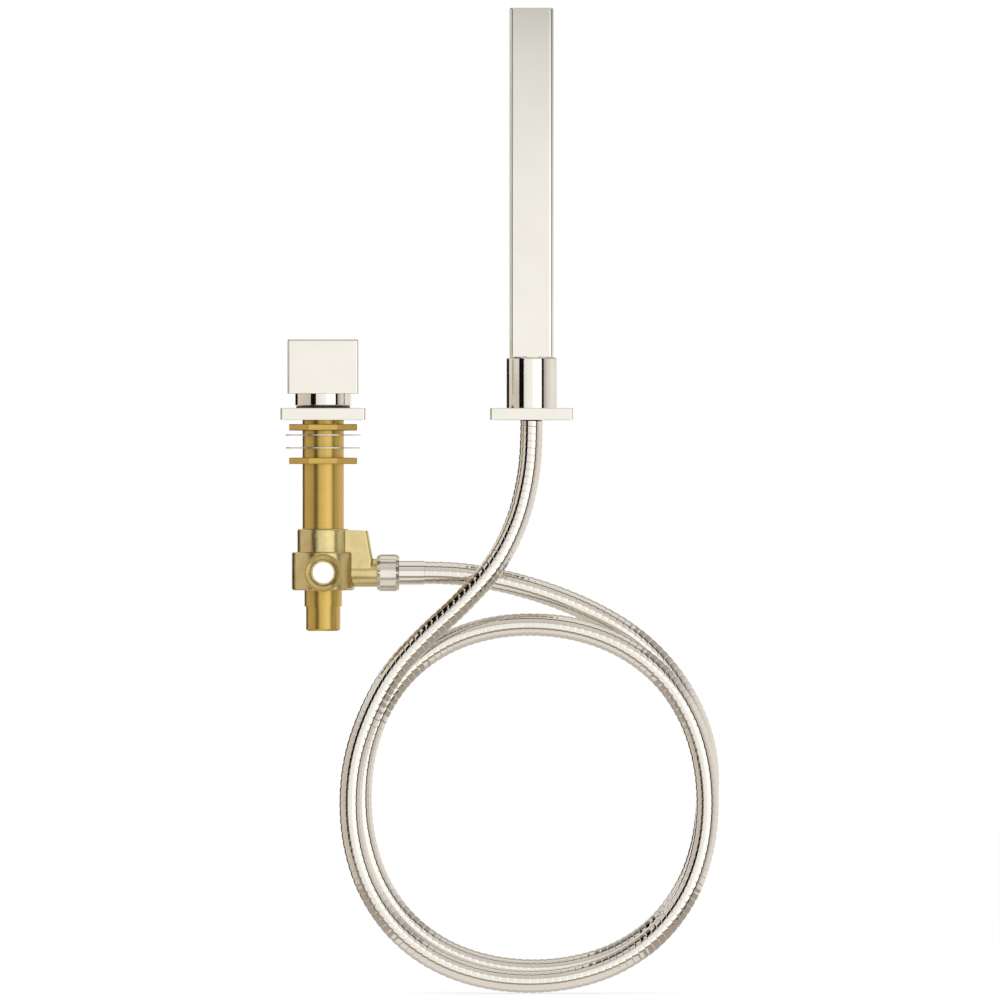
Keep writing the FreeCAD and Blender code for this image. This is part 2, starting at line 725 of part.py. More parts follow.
def make_clamp():
    make_lock_nut("upper_locknut", S.upper_nut_drop)
    make_lock_nut("lower_locknut", S.lower_nut_drop)
    for label, drop in (
        ("upper_washer", S.upper_washer_drop),
        ("lower_washer", S.lower_washer_drop),
    ):
        low = -(drop + S.washer_height)
        turned(label, tube_outline(S.washer_bore, S.washer_radius, low, -drop))


# Valve casting: its own origin is where the axes of the ports cross

def make_valve_body():
    body = new_body("valve_body")
    steps = [
        (ZERO, -S.barrel_drop),
        (S.barrel_radius, -S.barrel_drop),
        (S.barrel_radius, S.barrel_top),
        (S.collar_radius, S.barrel_top),
        (S.collar_radius, S.collar_top),
        (ZERO, S.collar_top),
    ]
    revolve(body, steps)
    rims = [
        (-S.barrel_drop, S.barrel_radius),
        (S.barrel_top, S.barrel_radius),
        (S.collar_top, S.collar_radius),
    ]
    round_edges(
        body,
        S.casting_edge,
        lambda edge: any(is_level(edge, z) and is_ring(edge, radius) for z, radius in rims),
    )
    add_web(body)
    neck = draw_circle(new_sketch(body, "YZ_Plane"), S.outlet_radius)
    pad(body, neck, S.outlet_reach)
    thread = draw_circle(new_sketch(body, "YZ_Plane", S.outlet_reach), S.thread_radius)
    pad(body, thread, S.outlet_thread)
    boss = draw_circle(new_sketch(body, "XZ_Plane"), S.boss_radius)
    pad(body, boss, S.boss_reach * 2, symmetric=True)
    cut_passages(body)
    bind_place(body, 0, 0, PORT_Z)


def is_ring(edge, radius):
    """Whether an edge is a whole circle of a radius."""
    box = edge.BoundBox
    return same(box.XLength / 2, radius)


def add_web(body):
    """The flat web right of the barrel, which holds the side passage to the hose."""
    low_corner = S.web_reach + S.web_slope
    web = [
        (ZERO, -S.web_edge),
        (low_corner, -S.web_edge),
        (low_corner, S.outlet_radius),
        (S.web_reach, S.collar_top - S.web_dip),
        (ZERO, S.collar_top - S.slip),
    ]
    pad(body, draw_outline(new_sketch(body, "XZ_Plane"), web), S.web_half * 2, symmetric=True)
    round_edges(body, S.web_edge, is_web_corner)


def is_web_corner(edge):
    """Whether an edge runs up the web's right face, in front or behind."""
    box = edge.BoundBox
    right = box.XMin > S.web_reach.value - NEAR
    return right and same(abs(box.YMin), S.web_half) and box.YLength < NEAR and box.ZLength > 1


def cut_passages(body):
    """Socket for the shank, chamber, ports, inlet bore and the side passage."""
    above = S.collar_top + 1
    below = -(S.barrel_drop + 2)
    spigot = S.nipple_spigot + S.slip
    spigot_top = S.nipple_depth - S.barrel_drop + S.slip
    bores = [
        (ZERO, below),
        (S.nipple_shoulder + S.slip, below),
        (S.nipple_shoulder + S.slip, -S.barrel_drop),
        (spigot, -S.barrel_drop),
        (spigot, spigot_top),
        (S.nipple_bore, spigot_top),
        (S.nipple_bore, ZERO),
        (S.floor_hole, ZERO),
        (S.floor_hole, S.chamber_floor),
        (S.chamber_radius, S.chamber_floor),
        (S.chamber_radius, S.socket_floor),
        (S.shank_radius + S.slip, S.socket_floor),
        (S.shank_radius + S.slip, above),
        (ZERO, above),
    ]
    revolve(body, bores, "PartDesign::Groove")
    inner = S.boss_reach - S.port_depth
    mouth = S.port_radius + S.port_chamfer
    cross = [
        (-S.boss_reach, ZERO),
        (-S.boss_reach, mouth),
        (-S.boss_reach + S.port_chamfer_depth, S.port_radius),
        (-inner, S.port_radius),
        (-inner, S.cross_radius),
        (inner, S.cross_radius),
        (inner, S.port_radius),
        (S.boss_reach - S.port_chamfer_depth, S.port_radius),
        (S.boss_reach, mouth),
        (S.boss_reach, ZERO),
    ]
    revolve(body, cross, "PartDesign::Groove", "YZ_Plane", "H_Axis")
    upper = draw_circle(new_sketch(body, "YZ_Plane"), S.passage_radius, 0, S.window_rise)
    pocket(body, upper, S.passage_x, backwards=True)
    upright = new_sketch(body, "XY_Plane")
    draw_circle(upright, S.passage_radius + S.passage_growth, S.passage_x, 0)
    pocket(body, upright, S.window_rise, backwards=True)
    start = S.passage_x - S.outlet_radius / 2
    outlet = new_sketch(body, "YZ_Plane", start)
    draw_circle(outlet, S.passage_radius + S.passage_growth * 2)
    pocket(body, outlet, OUTLET_END_X - start, backwards=True)


def make_inlet_nipple():
    step_foot = CASTING_FOOT - S.nipple_step
    foot = step_foot - S.nipple_length
    outline = [
        (S.nipple_bore, foot),
        (S.nipple_radius - S.nipple_edge, foot),
        (S.nipple_radius, foot + S.nipple_edge),
        (S.nipple_radius, step_foot),
        (S.nipple_shoulder, step_foot),
        (S.nipple_shoulder, CASTING_FOOT),
        (S.nipple_spigot, CASTING_FOOT),
        (S.nipple_spigot, CASTING_FOOT + S.nipple_depth),
        (S.nipple_bore, CASTING_FOOT + S.nipple_depth),
    ]
    turned("inlet_nipple", outline)


# Hose ends: each is built along +Z from the open end of its nut, and then placed

def hose_end(prefix, grip, wall_start, place):
    """Washer, tail and ferrule of one end: the thread's end lies grip above the nut's mouth."""
    flange_start = grip + S.hose_washer_height
    washer = tube_outline(S.hose_washer_bore, S.thread_radius - S.slip * 10, grip, flange_start)
    turned(prefix + "_washer", washer, **place)
    hose_start = wall_start + S.ferrule_length
    tail_end = hose_start + S.tail_reach
    tail = [
        (S.tail_bore, flange_start),
        (S.thread_radius - S.slip * 10, flange_start),
        (S.thread_radius - S.slip * 10, wall_start),
        (S.tail_radius, wall_start),
        (S.tail_radius, tail_end),
        (S.tail_bore, tail_end),
    ]
    turned(prefix + "_tail", tail, **place)
    ferrule = tube_outline(S.tail_radius + S.slip, S.ferrule_radius, wall_start, hose_start)
    turned(prefix + "_ferrule", ferrule, **place)


VALVE_GRIP = OUTLET_END_X - HOSE_NUT_X
VALVE_WALL = VALVE_GRIP + S.hose_washer_height + S.tail_flange
VALVE_END = {"x": HOSE_NUT_X, "z": PORT_Z, "turn": ALONG_X}
HANDSET_WALL = S.handset_nut_grip + S.hose_washer_height + S.tail_flange
HANDSET_NUT_MOUTH = SPIGOT_END + S.handset_nut_grip
HANDSET_END = {"x": S.holder_x, "z": HANDSET_NUT_MOUTH, "turn": DOWNWARDS}


def make_valve_hose_nut():
    """Nut with shallow flutes all round and chamfered ends."""
    body = new_body("valve_hose_nut")
    bore = S.thread_radius + S.slip
    hole = S.ferrule_radius + S.slip
    outline = [
        (bore, ZERO),
        (S.hose_nut_radius - S.hose_nut_edge, ZERO),
        (S.hose_nut_radius, S.hose_nut_edge * 2),
        (S.hose_nut_radius, S.hose_nut_length - S.hose_nut_edge * 2),
        (S.hose_nut_radius - S.hose_nut_edge, S.hose_nut_length),
        (hole, S.hose_nut_length),
        (hole, VALVE_WALL + S.slip),
        (bore, VALVE_WALL + S.slip),
    ]
    revolve(body, outline)
    flute = new_sketch(body, "XY_Plane")
    middle = S.hose_nut_radius - S.flute_depth / 2 + S.slip
    draw_rectangle(flute, S.flute_depth + S.slip * 2, S.flute_width, middle, 0)
    first = pocket(body, flute, S.hose_nut_length, backwards=True)
    pattern = body.newObject("PartDesign::PolarPattern", "flutes")
    pattern.Originals = [first]
    pattern.Axis = (flute, ["N_Axis"])
    pattern.Angle = 360
    pattern.Occurrences = FLUTES
    body.Tip = pattern
    document.recompute()
    bind_place(body, **VALVE_END)


def make_handset_hose_nut():
    bore = S.thread_radius + S.slip
    hole = S.ferrule_radius + S.slip
    outline = [
        (bore, ZERO),
        (S.handset_nut_radius, ZERO),
        (S.handset_nut_radius, S.handset_nut_straight),
        (S.handset_nut_end, S.handset_nut_length),
        (hole, S.handset_nut_length),
        (hole, HANDSET_WALL + S.slip),
        (bore, HANDSET_WALL + S.slip),
    ]
    turned("handset_hose_nut", outline, **HANDSET_END)


# Holder

def make_holder():
    bore = S.neck_radius + S.slip
    cover_plate("holder_plate", S.holder_plate_width, bore, S.holder_x)
    cup = new_body("holder_cup")
    inside = S.cup_radius - S.cup_wall
    floor_top = S.plate_height + S.cup_floor
    neck_foot = S.plate_height - S.neck_drop
    outline = [
        (S.neck_bore, neck_foot),
        (S.neck_radius, neck_foot),
        (S.neck_radius, S.plate_height),
        (S.cup_radius, S.plate_height),
        (S.cup_radius, S.cup_top),
        (inside, S.cup_top),
        (inside, floor_top),
        (S.neck_bore, floor_top),
    ]
    revolve(cup, outline)
    round_edges(
        cup,
        S.cup_edge,
        lambda edge: is_level(edge, S.cup_top) and is_ring(edge, S.cup_radius),
    )
    bind_place(cup, S.holder_x)
    liner_top = S.cup_top - S.liner_drop
    liner = [
        (S.liner_seat_bore, floor_top),
        (inside - S.slip, floor_top),
        (inside - S.slip, liner_top),
        (S.liner_bore, liner_top),
        (S.liner_bore, S.liner_cone_top),
        (S.liner_seat_bore, S.liner_cone_foot),
    ]
    turned("holder_liner", liner, S.holder_x)
    nut_top = CAVITY_TOP - S.slip
    nut = tube_outline(bore, S.ring_nut_radius, nut_top - S.ring_nut_height, nut_top)
    turned("holder_ring_nut", nut, S.holder_x)
    make_gasket()


def make_gasket():
    body = new_body("holder_gasket")
    outer = S.holder_plate_width - S.plate_wall * 2 - S.slip * 2
    inner = outer - S.gasket_width * 2
    frame = new_sketch(body, "XY_Plane")
    draw_rectangle(frame, outer, outer)
    draw_rectangle(frame, inner, inner)
    pad(body, frame, CAVITY_TOP)
    bind_place(body, S.holder_x)


# Hand shower

def make_handset_body():
    body = new_body("handset_body")
    width, depth = S.handset_width, S.handset_depth
    pad(body, draw_rectangle(new_sketch(body, "XY_Plane"), width, depth), HANDSET_TUBE)
    round_edges(body, S.handset_edge, is_upright)
    wall = S.handset_wall * 2
    inside = draw_rectangle(new_sketch(body, "XY_Plane"), width - wall, depth - wall)
    pocket(body, inside, HANDSET_TUBE, backwards=True)
    window = new_sketch(body, "XZ_Plane")
    gap = S.spray_gap * 2
    middle = MANIFOLD_FOOT + S.manifold_height / 2
    draw_rectangle(window, S.spray_width + gap, SPRAY_HEIGHT + gap, 0, middle)
    pocket(body, window, depth)
    notch = new_sketch(body, "XZ_Plane")
    notch_width = S.key_width + S.spray_gap * 2
    draw_rectangle(notch, notch_width, S.key_height, 0, S.key_height / 2)
    pocket(body, notch, depth, backwards=True)
    bind_place(body, S.holder_x, 0, HANDSET_FOOT)


def make_handset_cap():
    body = new_body("handset_top_cap")
    width, depth = S.handset_width, S.handset_depth
    pad(body, draw_rectangle(new_sketch(body, "XY_Plane"), width, depth), S.cap_height)
    round_edges(body, S.handset_edge, is_upright)
    round_edges(body, S.cap_edge, lambda edge: is_level(edge, S.cap_height))
    inset = S.handset_wall * 2 + S.slip * 2
    spigot = draw_rectangle(new_sketch(body, "XY_Plane"), width - inset, depth - inset)
    pad(body, spigot, S.cap_spigot, backwards=True)
    bind_place(body, S.holder_x, 0, HANDSET_FOOT + HANDSET_TUBE)


def make_handset_base():
    """Plug in the tube's foot, the spigot under it and the index key in the tube's notch."""
    body = new_body("handset_base")
    inset = S.handset_wall * 2 + S.slip * 2
    plug = new_sketch(body, "XY_Plane")
    draw_rectangle(plug, S.handset_width - inset, S.handset_depth - inset)
    pad(body, plug, S.plug_height)
    key = new_sketch(body, "XY_Plane")
    draw_rectangle(key, S.key_width, S.handset_depth / 2, 0, -S.handset_depth / 4)
    pad(body, key, S.key_height - S.slip * 2)
    spigot = draw_circle(new_sketch(body, "XY_Plane"), S.thread_radius)
    pad(body, spigot, S.spigot_length, backwards=True)
    seal_foot = S.plug_height - S.base_seal_height
    bores = [
        (ZERO, -S.spigot_length),
        (S.spigot_bore, -S.spigot_length),
        (S.spigot_bore, S.spigot_bore_top),
        (S.water_tube_radius + S.slip, S.spigot_bore_top),
        (S.water_tube_radius + S.slip, seal_foot),
        (S.base_seal_radius, seal_foot),
        (S.base_seal_radius, S.plug_height),
        (ZERO, S.plug_height),
    ]
    revolve(body, bores, "PartDesign::Groove")
    bind_place(body, S.holder_x, 0, HANDSET_FOOT)


def make_waterway():
    top = S.spigot_bore_top
    restrictor_foot = top - S.restrictor_height
    valve_foot = restrictor_foot - S.check_valve_height
    outer = S.spigot_bore - S.slip
    x, z = S.holder_x, HANDSET_FOOT
    turned("flow_restrictor", tube_outline(S.restrictor_bore, outer, restrictor_foot, top), x, 0, z)
    valve = tube_outline(S.check_valve_bore, outer, valve_foot, restrictor_foot)
    turned("check_valve", valve, x, 0, z)
    pipe_top = MANIFOLD_FOOT + S.manifold_wall
    pipe = tube_outline(S.water_tube_bore, S.water_tube_radius, top, pipe_top)
    turned("water_tube", pipe, x, 0, z)
    seal_foot = S.plug_height - S.base_seal_height
    seal = tube_outline(
        S.water_tube_radius + S.slip, S.base_seal_radius - S.slip, seal_foot, S.plug_height
    )
    turned("handset_base_seal", seal, x, 0, z)


def make_manifold():
    """Hollow box behind the spray plate, open towards it, with the pipe in its floor."""
    body = new_body("spray_manifold")
    back = S.handset_depth / 2 - S.handset_wall
    width = S.handset_width - S.handset_wall * 2 - S.slip * 2
    middle = S.manifold_height / 2
    block = draw_rectangle(new_sketch(body, "XZ_Plane", -back), width, S.manifold_height, 0, middle)
    pad(body, block, S.manifold_depth)
    hollow = new_sketch(body, "XZ_Plane", -back)
    rim = S.manifold_rim * 2
    draw_rectangle(hollow, width - rim, S.manifold_height - rim, 0, middle)
    pocket(body, hollow, S.manifold_depth - S.manifold_wall, backwards=True)
    hole = draw_circle(new_sketch(body, "XY_Plane"), S.water_tube_radius + S.slip)
    pocket(body, hole, S.manifold_rim, backwards=True)
    bind_place(body, S.holder_x, 0, HANDSET_FOOT + MANIFOLD_FOOT)


def nozzle_places():
    """Centres of the nozzles as (across, up) from the middle of the spray plate."""
    for i in range(NOZZLES_ACROSS):
        for k in range(NOZZLES_UP):
            across = S.nozzle_pitch_across * (i - (NOZZLES_ACROSS - 1) / 2)
            up = S.nozzle_pitch_up * (k - (NOZZLES_UP - 1) / 2)
            yield across, up


def make_spray_face():
    inner = S.handset_depth / 2 - S.handset_wall
    height = HANDSET_FOOT + MANIFOLD_FOOT + S.manifold_height / 2
    plate = new_body("spray_plate")
    face = draw_rectangle(new_sketch(plate, "XZ_Plane", -inner), S.spray_width, SPRAY_HEIGHT)
    for across, up in nozzle_places():
        draw_circle(face, S.nozzle_radius + S.slip, across, up)
    pad(plate, face, S.handset_wall, backwards=True)
    bind_place(plate, S.holder_x, 0, height)
    mat = new_body("spray_nozzles")
    width = S.handset_width - (S.handset_wall + S.slip + S.manifold_rim) * 2 - S.slip * 2
    tall = S.manifold_height - S.manifold_rim * 2 - S.slip * 2
    sheet_outline = draw_rectangle(new_sketch(mat, "XZ_Plane", -inner), width, tall)
    pad(mat, sheet_outline, S.nozzle_mat)
    tips = new_sketch(mat, "XZ_Plane", -inner)
    for across, up in nozzle_places():
        draw_circle(tips, S.nozzle_radius, across, up)
    pad(mat, tips, S.nozzle_length, backwards=True)
    bind_place(mat, S.holder_x, 0, height)


# Hose: a lead from the valve, nearly two loose turns and a lead up to the holder

TURN_STEPS = 24
RING_START = 2.0
RING_END = 570.0
BACK_CENTRE = Vector(128.8, 7.7, -231.0)
FRONT_CENTRE = Vector(126.0, -7.9, -234.4)
BACK_RADIUS = 108.4
FRONT_RADIUS = 111.5
RING_LOBE = 1.7
CROSS_START = 214.0
CROSS_END = 306.0
STRAIGHT_END = 16.0


def eased(share):
    share = min(max(share, 0.0), 1.0)
    return share * share * (3 - 2 * share)


def ring_point(angle):
    """A point of the loose turns: clockwise from the right, first behind and then in front."""
    passed = eased((angle - CROSS_START) / (CROSS_END - CROSS_START))
    centre = BACK_CENTRE * (1 - passed) + FRONT_CENTRE * passed
    radius = BACK_RADIUS * (1 - passed) + FRONT_RADIUS * passed
    radius = radius + RING_LOBE * math.cos(math.radians(4 * (angle - 45)))
    turn = math.radians(angle)
    return centre + Vector(math.cos(turn), 0, -math.sin(turn)) * radius


def hose_route():
    """The corners that the hose goes round, from the valve's ferrule to the handset's."""
    start = Vector((HOSE_NUT_X + VALVE_WALL + S.ferrule_length).value, 0, PORT_Z.value)
    foot = (HANDSET_NUT_MOUTH - HANDSET_WALL - S.ferrule_length).value
    end = Vector(S.holder_x.value, 0, foot)
    lead_in = [
        start,
        start + Vector(STRAIGHT_END, 0, 0),
        Vector(99.0, 2.4, -96.2),
        Vector(122.0, 4.3, -101.4),
        Vector(146.0, 5.8, -109.3),
        Vector(170.4, 6.9, -120.2),
        Vector(193.5, 7.5, -135.0),
        Vector(212.9, 7.7, -155.0),
        Vector(227.3, 7.7, -178.9),
        Vector(235.3, 7.7, -205.5),
    ]
    count = round((RING_END - RING_START) / 360 * TURN_STEPS)
    step = (RING_END - RING_START) / count
    ring = [ring_point(RING_START + step * k) for k in range(count + 1)]
    lead_out = [
        Vector(42.3, -8.7, -153.8),
        Vector(63.3, -11.4, -131.1),
        Vector(85.7, -13.3, -111.3),
        Vector(106.0, -13.1, -88.7),
        Vector(119.4, -9.4, -61.8),
        Vector(125.8, -4.0, -34.6),
        end - Vector(0, 0, STRAIGHT_END),
        end,
    ]
    return lead_in + ring + lead_out


def corner_arcs(route):
    """Arcs that round the route's corners: (arrival, middle, departure, radius) for each."""
    arcs = []
    for before, corner, after in zip(route, route[1:], route[2:]):
        into = (corner - before).normalize()
        away = (after - corner).normalize()
        cut = 0.45 * min((corner - before).Length, (after - corner).Length)
        half_turn = into.getAngle(away) / 2
        radius = cut / math.tan(half_turn)
        arrival = corner - into * cut
        departure = corner + away * cut
        inward = (away - into).normalize()
        centre = corner + inward * (radius / math.cos(half_turn))
        arcs.append((arrival, centre - inward * radius, departure, radius))
    return arcs


def route_wire(route):
    """Straight runs joined by tangent arcs."""
    edges = []
    last = route[0]
    arcs = corner_arcs(route)
    for arrival, middle, departure, radius in arcs:
        edges.append(Part.LineSegment(last, arrival).toShape())
        edges.append(Part.Arc(arrival, middle, departure).toShape())
        last = departure
    edges.append(Part.LineSegment(last, route[-1]).toShape())
    return Part.Wire(edges), [arc[3] for arc in arcs]


def along(wire, distance):
    """Point and direction at a distance from the wire's start."""
    left = distance
    for edge in wire.OrderedEdges:
        if left <= edge.Length + NEAR:
            break
        left = left - edge.Length
    place = edge.getParameterByLength(min(left, edge.Length))
    return edge.valueAt(place), edge.tangentAt(place)


def circle_across(place, direction, radius):
    """A circle square to the hose, its start towards the back."""
    side = Vector(0, 1, 0)
    side = (side - direction * side.dot(direction)).normalize()
    ring = Part.Wire(Part.makeCircle(radius))
    ring.Placement = Placement(place, Rotation(side, direction.cross(side), direction, "XYZ"))
    return ring


HOSE_RIBS = 190
RIB_STATIONS = ((0.0, 0), (0.14, 1), (0.74, 1), (0.88, 0))


def hose_stations(wire):
    """Distances along the hose with 0 in a groove and 1 on a rib, four to each rib."""
    end = S.hose_radius.value * 2
    pitch = (wire.Length - end * 2) / HOSE_RIBS
    stations = [(0.0, 1), (end - pitch * 0.3, 1)]
    for rib in range(HOSE_RIBS):
        for share, high in RIB_STATIONS:
            stations.append((end + pitch * (rib + share), high))
    last = wire.Length - end
    return stations + [(last, 0), (last + pitch * 0.3, 1), (wire.Length, 1)]


def least_gap(points, reach):
    """The least distance between points of the centreline that aren't neighbours."""
    least = math.inf
    for i, point in enumerate(points):
        for other in points[i + reach:]:
            least = min(least, point.distanceToPoint(other))
    return least


def round_faces(circles):
    """The faces between circles, without the flat ends."""
    loft = Part.makeLoft(circles, True, True)
    return [face for face in loft.Faces if face.Surface.TypeId != "Part::GeomPlane"]


def make_hose():
    """Ribbed hose with its bore, as one unbroken tube along the route."""
    wire, radii = route_wire(hose_route())
    print("hose: %.0f mm long" % wire.Length)
    print("hose: tightest bend %.0f mm; radii %s" % (min(radii), [round(r) for r in radii]))
    crest = S.hose_radius.value
    groove = crest - S.hose_relief.value
    outer, inner = [], []
    for distance, high in hose_stations(wire):
        place, direction = along(wire, distance)
        outer.append(circle_across(place, direction, crest if high else groove))
    for k in range(HOSE_RIBS + 1):
        place, direction = along(wire, wire.Length * k / HOSE_RIBS)
        inner.append(circle_across(place, direction, S.hose_bore.value))
    ends = [Part.Face([outer[k], inner[k].reversed()]) for k in (0, -1)]
    shell = Part.Shell(round_faces(outer) + round_faces(inner) + ends)
    shell.sewShape()
    solid = Part.Solid(shell)
    points = [along(wire, wire.Length * k / 380)[0] for k in range(381)]
    gap = least_gap(points, 12) - crest * 2
    plain = math.pi * (crest ** 2 - S.hose_bore.value ** 2) * wire.Length
    print("hose: least gap to itself %.2f mm" % gap)
    print("hose: volume %.0f of %.0f for a smooth tube" % (solid.Volume, plain))
    hose = document.addObject("Part::Feature", "shower_hose")
    hose.Label = "shower_hose"
    hose.Shape = solid
    hose.Placement = Placement()
    parts.append(hose)


def check_document():
    document.recompute()
    for thing in document.Objects:
        if "Invalid" in thing.State or "Error" in thing.State:
            raise RuntimeError("%s failed: %s" % (thing.Label, thing.State))
    for part in parts:
        if part.Shape.isNull() or not part.Shape.isValid():
            raise RuntimeError("%s has no valid shape" % part.Label)
        if not part.Shape.Solids or part.Shape.Volume <= 0:
            raise RuntimeError("%s has no solid" % part.Label)


def write_parts():
    os.makedirs("parts", exist_ok=True)
    for part in parts:
        part.Shape.exportStep("parts/%s.step" % part.Label)
    print("%d parts" % len(parts))


def main():
    make_diverter_plate()
    make_knob()
    make_skirt()
    make_adaptor()
    make_set_screw()
    make_spindle()
    make_discs()
    make_housing()
    make_shank()
    make_clamp()
    make_valve_body()
    make_inlet_nipple()
    make_valve_hose_nut()
    hose_end("valve_hose", VALVE_GRIP, VALVE_WALL, VALVE_END)
    make_handset_hose_nut()
    hose_end("handset_hose", S.handset_nut_grip, HANDSET_WALL, HANDSET_END)
    make_holder()
    make_handset_body()
    make_handset_cap()
    make_handset_base()
    make_waterway()
    make_manifold()
    make_spray_face()
    make_hose()
    check_document()
    write_parts()


main()
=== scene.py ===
import json
import math

import bmesh
import bpy
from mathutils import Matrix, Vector


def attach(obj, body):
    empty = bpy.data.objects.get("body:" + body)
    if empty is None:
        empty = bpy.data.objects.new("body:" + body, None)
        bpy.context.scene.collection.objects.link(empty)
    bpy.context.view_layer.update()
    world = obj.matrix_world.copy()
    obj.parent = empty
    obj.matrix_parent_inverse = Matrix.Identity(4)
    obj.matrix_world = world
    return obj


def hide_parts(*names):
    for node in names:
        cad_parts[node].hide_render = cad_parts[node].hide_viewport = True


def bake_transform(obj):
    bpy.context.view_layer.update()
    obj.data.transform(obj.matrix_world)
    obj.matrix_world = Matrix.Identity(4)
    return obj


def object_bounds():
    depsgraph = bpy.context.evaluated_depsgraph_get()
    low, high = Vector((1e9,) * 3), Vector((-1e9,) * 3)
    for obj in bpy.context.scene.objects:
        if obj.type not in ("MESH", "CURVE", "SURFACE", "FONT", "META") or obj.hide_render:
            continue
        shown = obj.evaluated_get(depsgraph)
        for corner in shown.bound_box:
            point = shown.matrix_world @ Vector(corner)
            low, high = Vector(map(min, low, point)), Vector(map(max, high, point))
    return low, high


# Deck-mounted hand shower set, in metres, in the frame of the CAD: +Z up, the deck's top at Z = 0,
# the diverter valve's axis at X = Y = 0 and the front towards -Y.

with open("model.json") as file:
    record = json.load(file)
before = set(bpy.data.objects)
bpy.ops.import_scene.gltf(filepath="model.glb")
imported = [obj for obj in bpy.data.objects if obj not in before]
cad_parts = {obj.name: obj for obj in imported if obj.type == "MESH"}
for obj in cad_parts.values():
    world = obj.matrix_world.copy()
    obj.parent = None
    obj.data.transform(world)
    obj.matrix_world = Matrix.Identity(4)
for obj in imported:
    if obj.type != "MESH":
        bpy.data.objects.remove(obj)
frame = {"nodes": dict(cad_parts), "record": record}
nodes = frame["nodes"]
cad_low, cad_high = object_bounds()
scene = bpy.context.scene

scene.view_settings.view_transform = "Standard"

HOLDER_X = 0.1275
PORT_Z = -0.0935


# Camera: level with the middle of the photograph, far away and with a long lens

VIEW_WIDTH = 0.612
VIEW_DISTANCE = 12.0
VIEW_X = 0.1082
VIEW_Z = -0.0490
VIEW_END = 50
SENSOR_WIDTH = 36


def add_camera():
    data = bpy.data.cameras.new("camera")
    data.sensor_width = SENSOR_WIDTH
    data.lens = SENSOR_WIDTH * VIEW_DISTANCE / VIEW_WIDTH
    data.clip_end = VIEW_END
    camera = bpy.data.objects.new("camera", data)
    camera.location = (VIEW_X, -VIEW_DISTANCE, VIEW_Z)
    camera.rotation_euler = (math.radians(90), 0, 0)
    scene.collection.objects.link(camera)
    scene.camera = camera


# Node trees

class Nodes:
    """Builds a node tree; each call adds one node or more and gives the last one's first output."""

    def __init__(self, tree):
        tree.nodes.clear()
        self.tree = tree

    def add(self, kind, inputs=(), **settings):
        node = self.tree.nodes.new(kind)
        for name, value in settings.items():
            setattr(node, name, value)
        for key, value in dict(inputs).items():
            if isinstance(value, bpy.types.NodeSocket):
                self.tree.links.new(value, node.inputs[key])
            else:
                node.inputs[key].default_value = value
        return node.outputs[0]

    def output(self, kind, surface):
        """Lead a surface into the tree's output node."""
        node = self.tree.nodes.new(kind)
        self.tree.links.new(surface, node.inputs["Surface"])

    def place(self):
        """Where a point lies in its own object."""
        return self.add("ShaderNodeTexCoord").node.outputs["Object"]

    def math(self, operation, a, b):
        return self.add("ShaderNodeMath", {0: a, 1: b}, operation=operation)

    def ramp(self, share, stops):
        """A colour ramp from (place, colour) stops; a new ramp already has two of them."""
        socket = self.add("ShaderNodeValToRGB", {"Fac": share})
        ramp = socket.node.color_ramp
        for k, (place, colour) in enumerate(stops):
            stop = ramp.elements[k] if k < 2 else ramp.elements.new(place)
            stop.position = place
            stop.color = (*colour, 1)
        return socket

    def graded(self, value, stops):
        """A colour ramp along a value, from stops given in that value's own measure."""
        first, last = stops[0][0], stops[-1][0]
        span = {"Value": value, "From Min": first, "From Max": last}
        share = self.add("ShaderNodeMapRange", span)
        return self.ramp(share, [((at - first) / (last - first), colour) for at, colour in stops])

    def mixed(self, share, colours, edge=0.30):
        """Two colours by a noise round one half, each alone beyond an edge on its side."""
        return self.ramp(share, [(edge, colours[0]), (1 - edge, colours[1])])

    def between(self, share, ends):
        """A value between two ends."""
        low, high = ends
        return self.add("ShaderNodeMapRange", {"Value": share, "To Min": low, "To Max": high})

    def noise(self, where, scale=1.0, detail=3.0, roughness=0.5):
        inputs = {"Vector": where, "Scale": scale, "Detail": detail, "Roughness": roughness}
        return self.add("ShaderNodeTexNoise", inputs)

    def streaks(self, where, scales, detail=3.0):
        """A noise that has its own scale along each axis."""
        stretched = self.add("ShaderNodeMapping", {"Vector": where, "Scale": scales})
        return self.noise(stretched, detail=detail, roughness=0.6)

    def bump(self, height, distance, **inputs):
        return self.add("ShaderNodeBump", {"Height": height, "Distance": distance, **inputs})


def new_material(name):
    material = bpy.data.materials.new(name)
    material.use_nodes = True
    return material, Nodes(material.node_tree)


def add_flat(name, low, high):
    """A flat rectangle, from two opposite corners that agree along one axis."""
    one, two = [axis for axis in range(3) if low[axis] != high[axis]]
    corners = []
    for side, end in ((low, low), (high, low), (high, high), (low, high)):
        corner = list(low)
        corner[one] = side[one]
        corner[two] = end[two]
        corners.append(corner)
    mesh = bpy.data.meshes.new(name)
    mesh.from_pydata(corners, [], [(0, 1, 2, 3)])
    flat = bpy.data.objects.new(name, mesh)
    scene.collection.objects.link(flat)
    return flat


# World: white for the camera, in reflections and through the ports, a little less on matt surfaces

ROOM_LEVEL = 0.92


def add_world():
    world = bpy.data.worlds.new("studio")
    scene.world = world
    world.use_nodes = True
    tree = Nodes(world.node_tree)
    seen = tree.add("ShaderNodeLightPath").node
    shown = tree.math("MAXIMUM", seen.outputs["Is Camera Ray"], seen.outputs["Is Glossy Ray"])
    shown = tree.math("MAXIMUM", shown, seen.outputs["Is Transmission Ray"])
    level = tree.math("ADD", tree.math("MULTIPLY", shown, 1 - ROOM_LEVEL), ROOM_LEVEL)
    light = tree.add("ShaderNodeBackground", {"Color": (1, 1, 1, 1), "Strength": level})
    tree.output("ShaderNodeOutputWorld", light)


